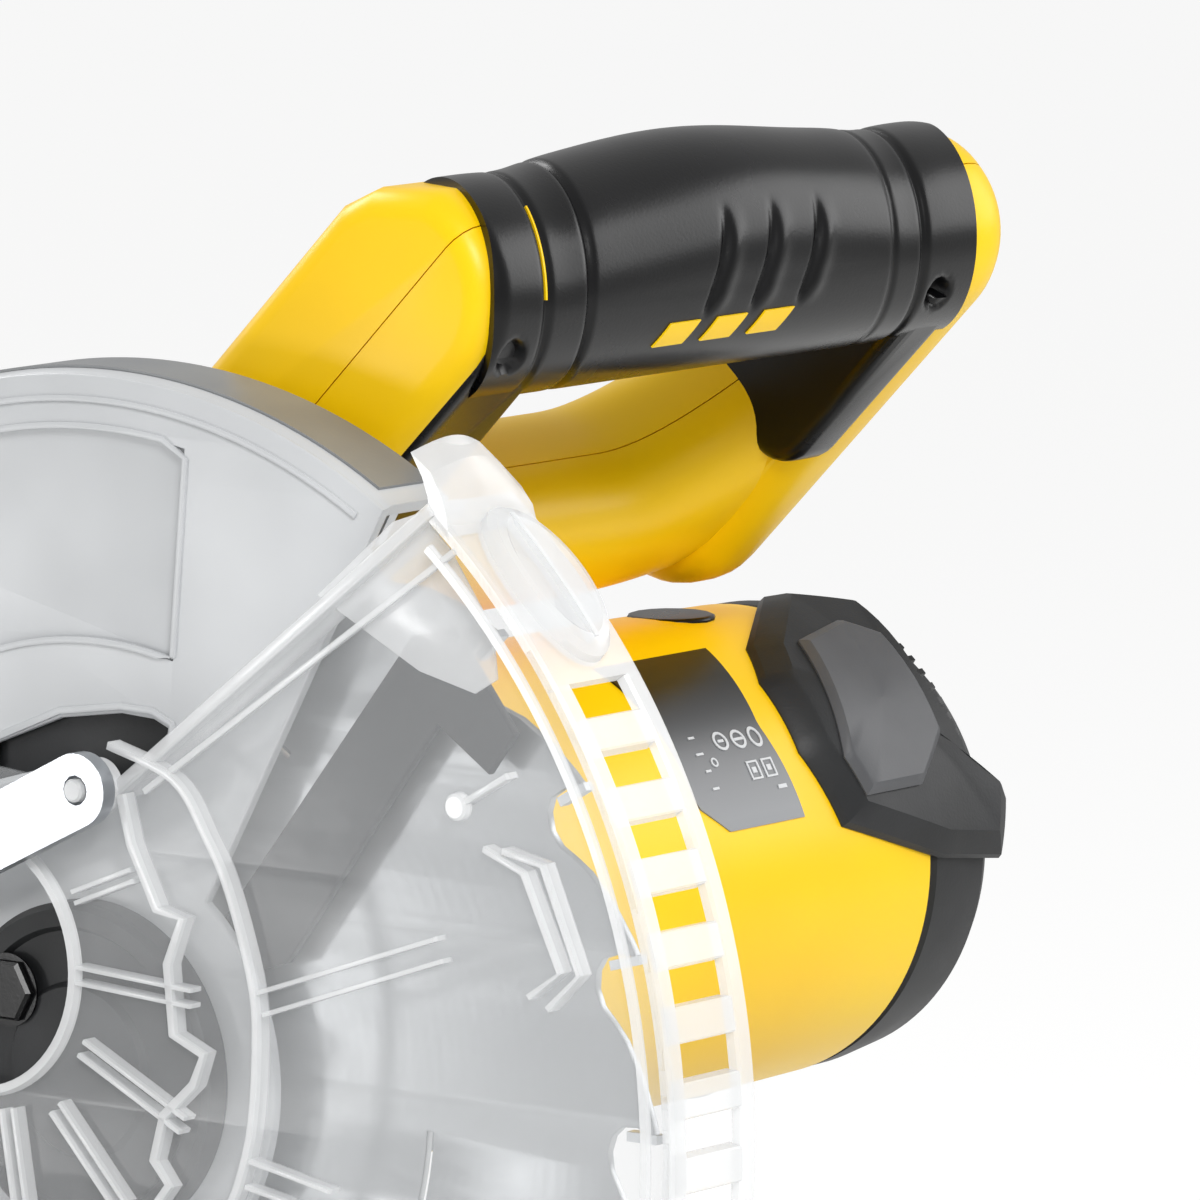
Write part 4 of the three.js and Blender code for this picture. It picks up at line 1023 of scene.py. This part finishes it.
rim_near = ring_between(-21, -16.5, SLOT_BOTTOM, SLOT_TOP)
rim_far = ring_between(-0.5, 4, SLOT_BOTTOM, SLOT_TOP)
rim_tail = ring_between(-21, 4, TAIL, SLOT_BOTTOM, steps=40)
rim_solid = ring_between(-21, 4, SLOT_TOP, LEAD, steps=20)
rungs = copies(block(-17, 0, GUARD_RADIUS - 3.4, GUARD_RADIUS - 0.3, 3.6, 0.92), ARBOR, clear_edge,
               SLOT_COUNT - 1, -(SLOT_FIRST - SLOT_PITCH / 2), SLOT_PITCH)
BULGE_LEVELS = ((-1.0, 1.0), (1.6, 0.97), (2.9, 0.88), (3.3, 0.75), (2.6, 0.66), (2.4, 0.03))
bulge = arbor_bulge(-17, 3, 36.5, 50.5, BULGE_LEVELS)
centre_rib = turned([(-7.6, GUARD_RADIUS + 1), (-7.6, GUARD_RADIUS + 3.6), (-6.4, GUARD_RADIUS + 3.6),
                     (-6.4, GUARD_RADIUS + 1)], 38, 49, 14)
edge_and_glare_pieces = [rim_near, rim_far, rim_tail, rim_solid, rungs, bulge, centre_rib, finger_tab()]

# %% [markdown]
# Ribs stiffen the wall: a strong one along the leading edge, a ring and a zigzag about the hub, paired
# spokes between them, and a bent pair near the rim. Each is a narrow strip along a line of places.

# %% Ribs
def smooth_line(points, steps=6):
    """A Catmull-Rom line through the given places."""
    line = []
    ends = [points[0], *points, points[-1]]
    for a, b, c, d in zip(ends, ends[1:], ends[2:], ends[3:]):
        for i in range(steps):
            t = i / steps
            line.append(tuple(0.5 * (2 * b[k] + (c[k] - a[k]) * t
                                     + (2 * a[k] - 5 * b[k] + 4 * c[k] - d[k]) * t * t
                                     + (3 * b[k] - a[k] - 3 * c[k] + d[k]) * t ** 3) for k in (0, 1)))
    return line + [points[-1]]


def pair(start, end, apart):
    """Two parallel lines either side of the line from start to end."""
    along = (Vector(end) - Vector(start)).normalized()
    side = Vector((-along.y, along.x)) * apart / 2
    return [[tuple(Vector(start) + s * side), tuple(Vector(end) + s * side)] for s in (1, -1)]


RING_RIB = smooth_line([(13.8, 64), (29.6, 59), (37.4, 49.1), (42.8, 39.5), (48.2, 23.4),
                        (49.3, 12.6), (48.4, -1.9), (46.3, -11.2),
                        (42.6, -20), (34, -32), (20, -43), (2, -49), (-18, -49), (-36, -42)])
ZIGZAG = [(16.6, 55), (19.1, 45.8), (25.3, 34.2), (31.4, 33), (27.8, 24.1), (29.1, 11), (36.4, 8), (34, 2.1),
          (26.7, -4.5), (24.2, -13.4), (27.9, -17.7), (22, -25), (12, -26), (6, -34), (-6, -32)]
ribs = [(RING_RIB, 1.5, 2.4), (ZIGZAG, 1.8, 2.0)]
for start, end, apart in (((5.5, 19.8), (33.4, 18.3), 3.0), ((6.5, 6.0), (31.3, -5.9), 3.0),
                          ((0, -6), (16.1, -23.1), 3.0), ((-12, -7.6), (-8.2, -30), 3.0),
                          ((4.9, 34.4), (18.9, 39.9), 2.2),
                          ((50.2, 19.1), (92.5, 33.6), 4.2), ((47, -13.2), (66.3, -16.6), 5.0)):
    ribs += [(line, 0.9, 2.0) for line in pair(start, end, apart)]
for inset in (0, 4.4):
    ribs.append(([(107.4 - inset, 53.3), (116.6 - inset, 51.5 - inset * 0.4), (125 - inset, 32.3),
                  (117.7 - inset, 25.4 + inset * 0.4)], 1.2, 2.0))
ribs += [([(96.8, 60.4), (108.4, 67.1)], 1.2, 2.0), ([(62, -20), (60, -52)], 4.0, 1.0)]
for line, width, tall in ribs:
    edge_and_glare_pieces.append(plate([strip(line, width)], WALL_IN - tall * 0.5, WALL_OUT + 0.4, 0.2, 1))
# A whiter, more opaque patch on the wall's outer face near the leading edge, where the glint lamp falls, is
# a painted reflection: it stands in for the glare off the wall there.
painted_glare_patch = [(62, 96), (80, 111), (86, 113), (93, 107), (103, 93), (104, 84), (99, 81), (86, 84)]
edge_and_glare_pieces.append(plate([painted_glare_patch], WALL_OUT - 0.3, WALL_OUT + 0.5, 0.2, 1))
EDGE = [(13.8, 54.8), (90.6, 114.2)]
edge_and_glare_pieces.append(plate([strip(EDGE, 2.6)], WALL_IN - 0.8, WALL_OUT + 7.5, 0.6, 2))
edge_and_glare_pieces.append(plate([strip([(22, 56), (96, 107)], 1.2)], WALL_IN - 0.5, WALL_IN + 0.8, 0.2, 1))
window_lip = turned([(WALL_IN - 1.2, HUB_WINDOW), (WALL_IN - 1.2, HUB_WINDOW + 1.6),
                     (WALL_IN + 0.4, HUB_WINDOW + 2.2), (WALL_IN + 0.4, HUB_WINDOW)],
                    0, 360, 72, HUB_F, HUB_Z)
wall_lip = turned([(WALL_IN - 0.7, GUARD_RADIUS - 7), (WALL_IN - 0.7, GUARD_RADIUS - 5.6),
                   (WALL_IN + 0.3, GUARD_RADIUS - 5.2), (WALL_IN + 0.3, GUARD_RADIUS - 7.4)],
                  TAIL + 2, LEAD - 2, 110)
boss = turned([(-24, 2.4), (-24, 4.4), (-23.4, 5), (-20.5, 5.4), (-20.5, 2.4)], 0, 360, 32, 11, 56)
pin = turned([(-29, 0.01), (-29, 1.8), (-28.6, 2.2), (-20.6, 2.2), (-20.6, 0.01)], 0, 360, 24, 11, 56)
stud = turned([(WALL_IN - 1.4, 0.01), (WALL_IN - 1.4, 2.0), (WALL_IN - 1, 2.5), (WALL_IN + 0.5, 2.7),
               (WALL_IN + 0.5, 0.01)], 0, 360, 24, 96.8, 60.4)
edge_and_glare_pieces += [window_lip, wall_lip, boss, pin, stud]
# The rims, ribs, lips, bosses and the painted glare patch are joined into one piece.
piece("guard_edges_and_painted_glare", joined(edge_and_glare_pieces), clear_edge, "lower_guard", "clear_polycarbonate")

# %% [markdown]
# ## The hub
# Behind the window sits the hub's dark cover, a turned dish with a raised rim and a stepped middle,
# and the hexagon bolt that holds it. The bolt's head has a chamfer and a washer under it.

# %% Hub cover and bolt
hub_low, hub_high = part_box("hub_cover")
HUB_NEAR, HUB_FAR = hub_low[0] / MM, hub_high[0] / MM
dish = turned([(HUB_FAR, 32), (HUB_NEAR + 1.2, 32), (HUB_NEAR, 30.8), (HUB_NEAR, 27.5),
               (HUB_NEAR + 1.2, 26.6), (HUB_NEAR + 1.2, 17), (HUB_NEAR, 16), (HUB_NEAR, 0.01),
               (HUB_NEAR + 2, 0.01), (HUB_NEAR + 2.6, 29), (HUB_FAR, 29)], 0, 360, 96)
piece("hub_disc", dish, dark_nylon, "head", "dark_nylon", "hub_cover")
screw_low, screw_high = (Vector(v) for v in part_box("hub_cover_screw"))
SCREW_F = (ARBOR.y - (screw_low.y + screw_high.y) / 2) / MM
SCREW_Z = ((screw_low.z + screw_high.z) / 2 - ARBOR.z) / MM
SCREW_NEAR, SCREW_FAR = screw_low.x / MM, screw_high.x / MM
hexagon = turned([(SCREW_FAR - 0.6, 6.4), (SCREW_NEAR + 0.7, 6.4), (SCREW_NEAR, 5.7), (SCREW_NEAR, 0.01),
                  (SCREW_FAR - 0.6, 0.01)], 0, 360, 6, SCREW_F, SCREW_Z)
washer = turned([(SCREW_FAR, 3), (SCREW_FAR, 7), (SCREW_FAR - 0.5, 7), (SCREW_FAR - 0.55, 3)], 0, 360, 48,
                SCREW_F, SCREW_Z)
bolt = joined([hexagon, washer])
piece("hub_bolt", bolt, black_rubber, "head", "black_rubber", "hub_cover_screw", smooth=20)

# %% [markdown]
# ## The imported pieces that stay
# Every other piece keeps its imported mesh. A small tree joins its corners and makes it smooth where it
# is round and sharp at real edges; a bevel then gives each edge a narrow radius that catches light.

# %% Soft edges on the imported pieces
def soft_tree():
    tree = bpy.data.node_groups.new("smooth_with_real_edges", "GeometryNodeTree")
    tree.interface.new_socket("Mesh", in_out="INPUT", socket_type="NodeSocketGeometry")
    tree.interface.new_socket("Mesh", in_out="OUTPUT", socket_type="NodeSocketGeometry")
    given = tree.nodes.new("NodeGroupInput").outputs
    merged = add(tree, "GeometryNodeMergeByDistance", Geometry=given["Mesh"], Distance=0.00001)
    smooth = add(tree, "GeometryNodeSetShadeSmooth", Geometry=merged.outputs[0], Shade_Smooth=True)
    angle = add(tree, "GeometryNodeInputMeshEdgeAngle").outputs["Unsigned Angle"]
    sharp = add(tree, "FunctionNodeCompare", {"operation": "GREATER_THAN"}, i0=angle, i1=math.radians(34))
    edged = add(tree, "GeometryNodeSetShadeSmooth", {"domain": "EDGE"}, Geometry=smooth.outputs[0],
                Selection=sharp.outputs[0], Shade_Smooth=False)
    tree.links.new(edged.outputs[0], tree.nodes.new("NodeGroupOutput").inputs["Mesh"])
    return tree


FINISH_OF = {"cast_alloy": cast_alloy, "yellow_abs": yellow_abs, "dark_nylon": dark_nylon,
             "black_rubber": black_rubber, "guard_grey": guard_grey, "clear_polycarbonate": clear_wall,
             "steel": steel, "blade_steel": blade_steel, "copper": copper, "laminated_iron": iron,
             "red_nylon": red_nylon, "carbon": carbon, "plate_film": plate_film}
SLOT_OF = {part["node"]: part["material_slot"] for part in frame["record"]["subparts"]}
SOFT_TREE = soft_tree()
dressed = 0
for name, node in nodes.items():
    node.data.materials.clear()
    node.data.materials.append(scale_steel if name == "mitre_scale" else FINISH_OF[SLOT_OF[name]])
    joins = node.modifiers.new("smooth", "NODES")
    joins.node_group = SOFT_TREE
    low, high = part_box(name)
    thinnest = min(b - a for a, b in zip(low, high))
    edge = node.modifiers.new("edge", "BEVEL")
    edge.width = min(0.8 * MM, thinnest * 0.12)
    edge.segments = 2
    edge.limit_method = "ANGLE"
    edge.angle_limit = math.radians(38)
    edge.use_clamp_overlap = True
    edge.harden_normals = True
    dressed += 1
print("packed pieces dressed:", dressed)

# %% [markdown]
# ## Small details that repeat
# The mitre scale has a line every degree and a longer one every five. The lines are thin
# raised blocks copied about the pivot, by the same tree as the guard's rungs.

# %% Scale marks
pivot_low, pivot_high = (Vector(v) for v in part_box("pivot_bolt"))
scale_low, scale_high = (Vector(v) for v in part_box("mitre_scale"))
PIVOT = Vector(((pivot_low.x + pivot_high.x) / 2, (pivot_low.y + pivot_high.y) / 2, scale_high.z))
scale_reach = (PIVOT.y - scale_low.y) / MM
print("scale reaches", round(scale_reach, 1), "mm from the pivot; top at", round(scale_high.z / MM, 1))


def tick(length, half):
    """A thin mark lying flat on the scale, pointing at the pivot, at its outer edge."""
    r0, r1 = scale_reach - 2 - length, scale_reach - 2
    points = [(s * half * MM, -r * MM, z * MM) for z in (-0.25, 0.06)
              for s, r in ((-1, r0), (1, r0), (1, r1), (-1, r1))]
    sides = [(i, (i + 1) % 4, 4 + (i + 1) % 4, 4 + i) for i in range(4)]
    mesh = bpy.data.meshes.new("tick")
    mesh.from_pydata(points, [], [(3, 2, 1, 0), (4, 5, 6, 7), *sides])
    return clean(mesh)


fine = copies(tick(3.0, 0.18), PIVOT, black_rubber, 101, -50, 1.0, (0, 0, 1))
coarse = copies(tick(5.2, 0.35), PIVOT, black_rubber, 21, -50, 5.0, (0, 0, 1))
piece("scale_marks", joined([fine, coarse]), black_rubber, "base", "steel")
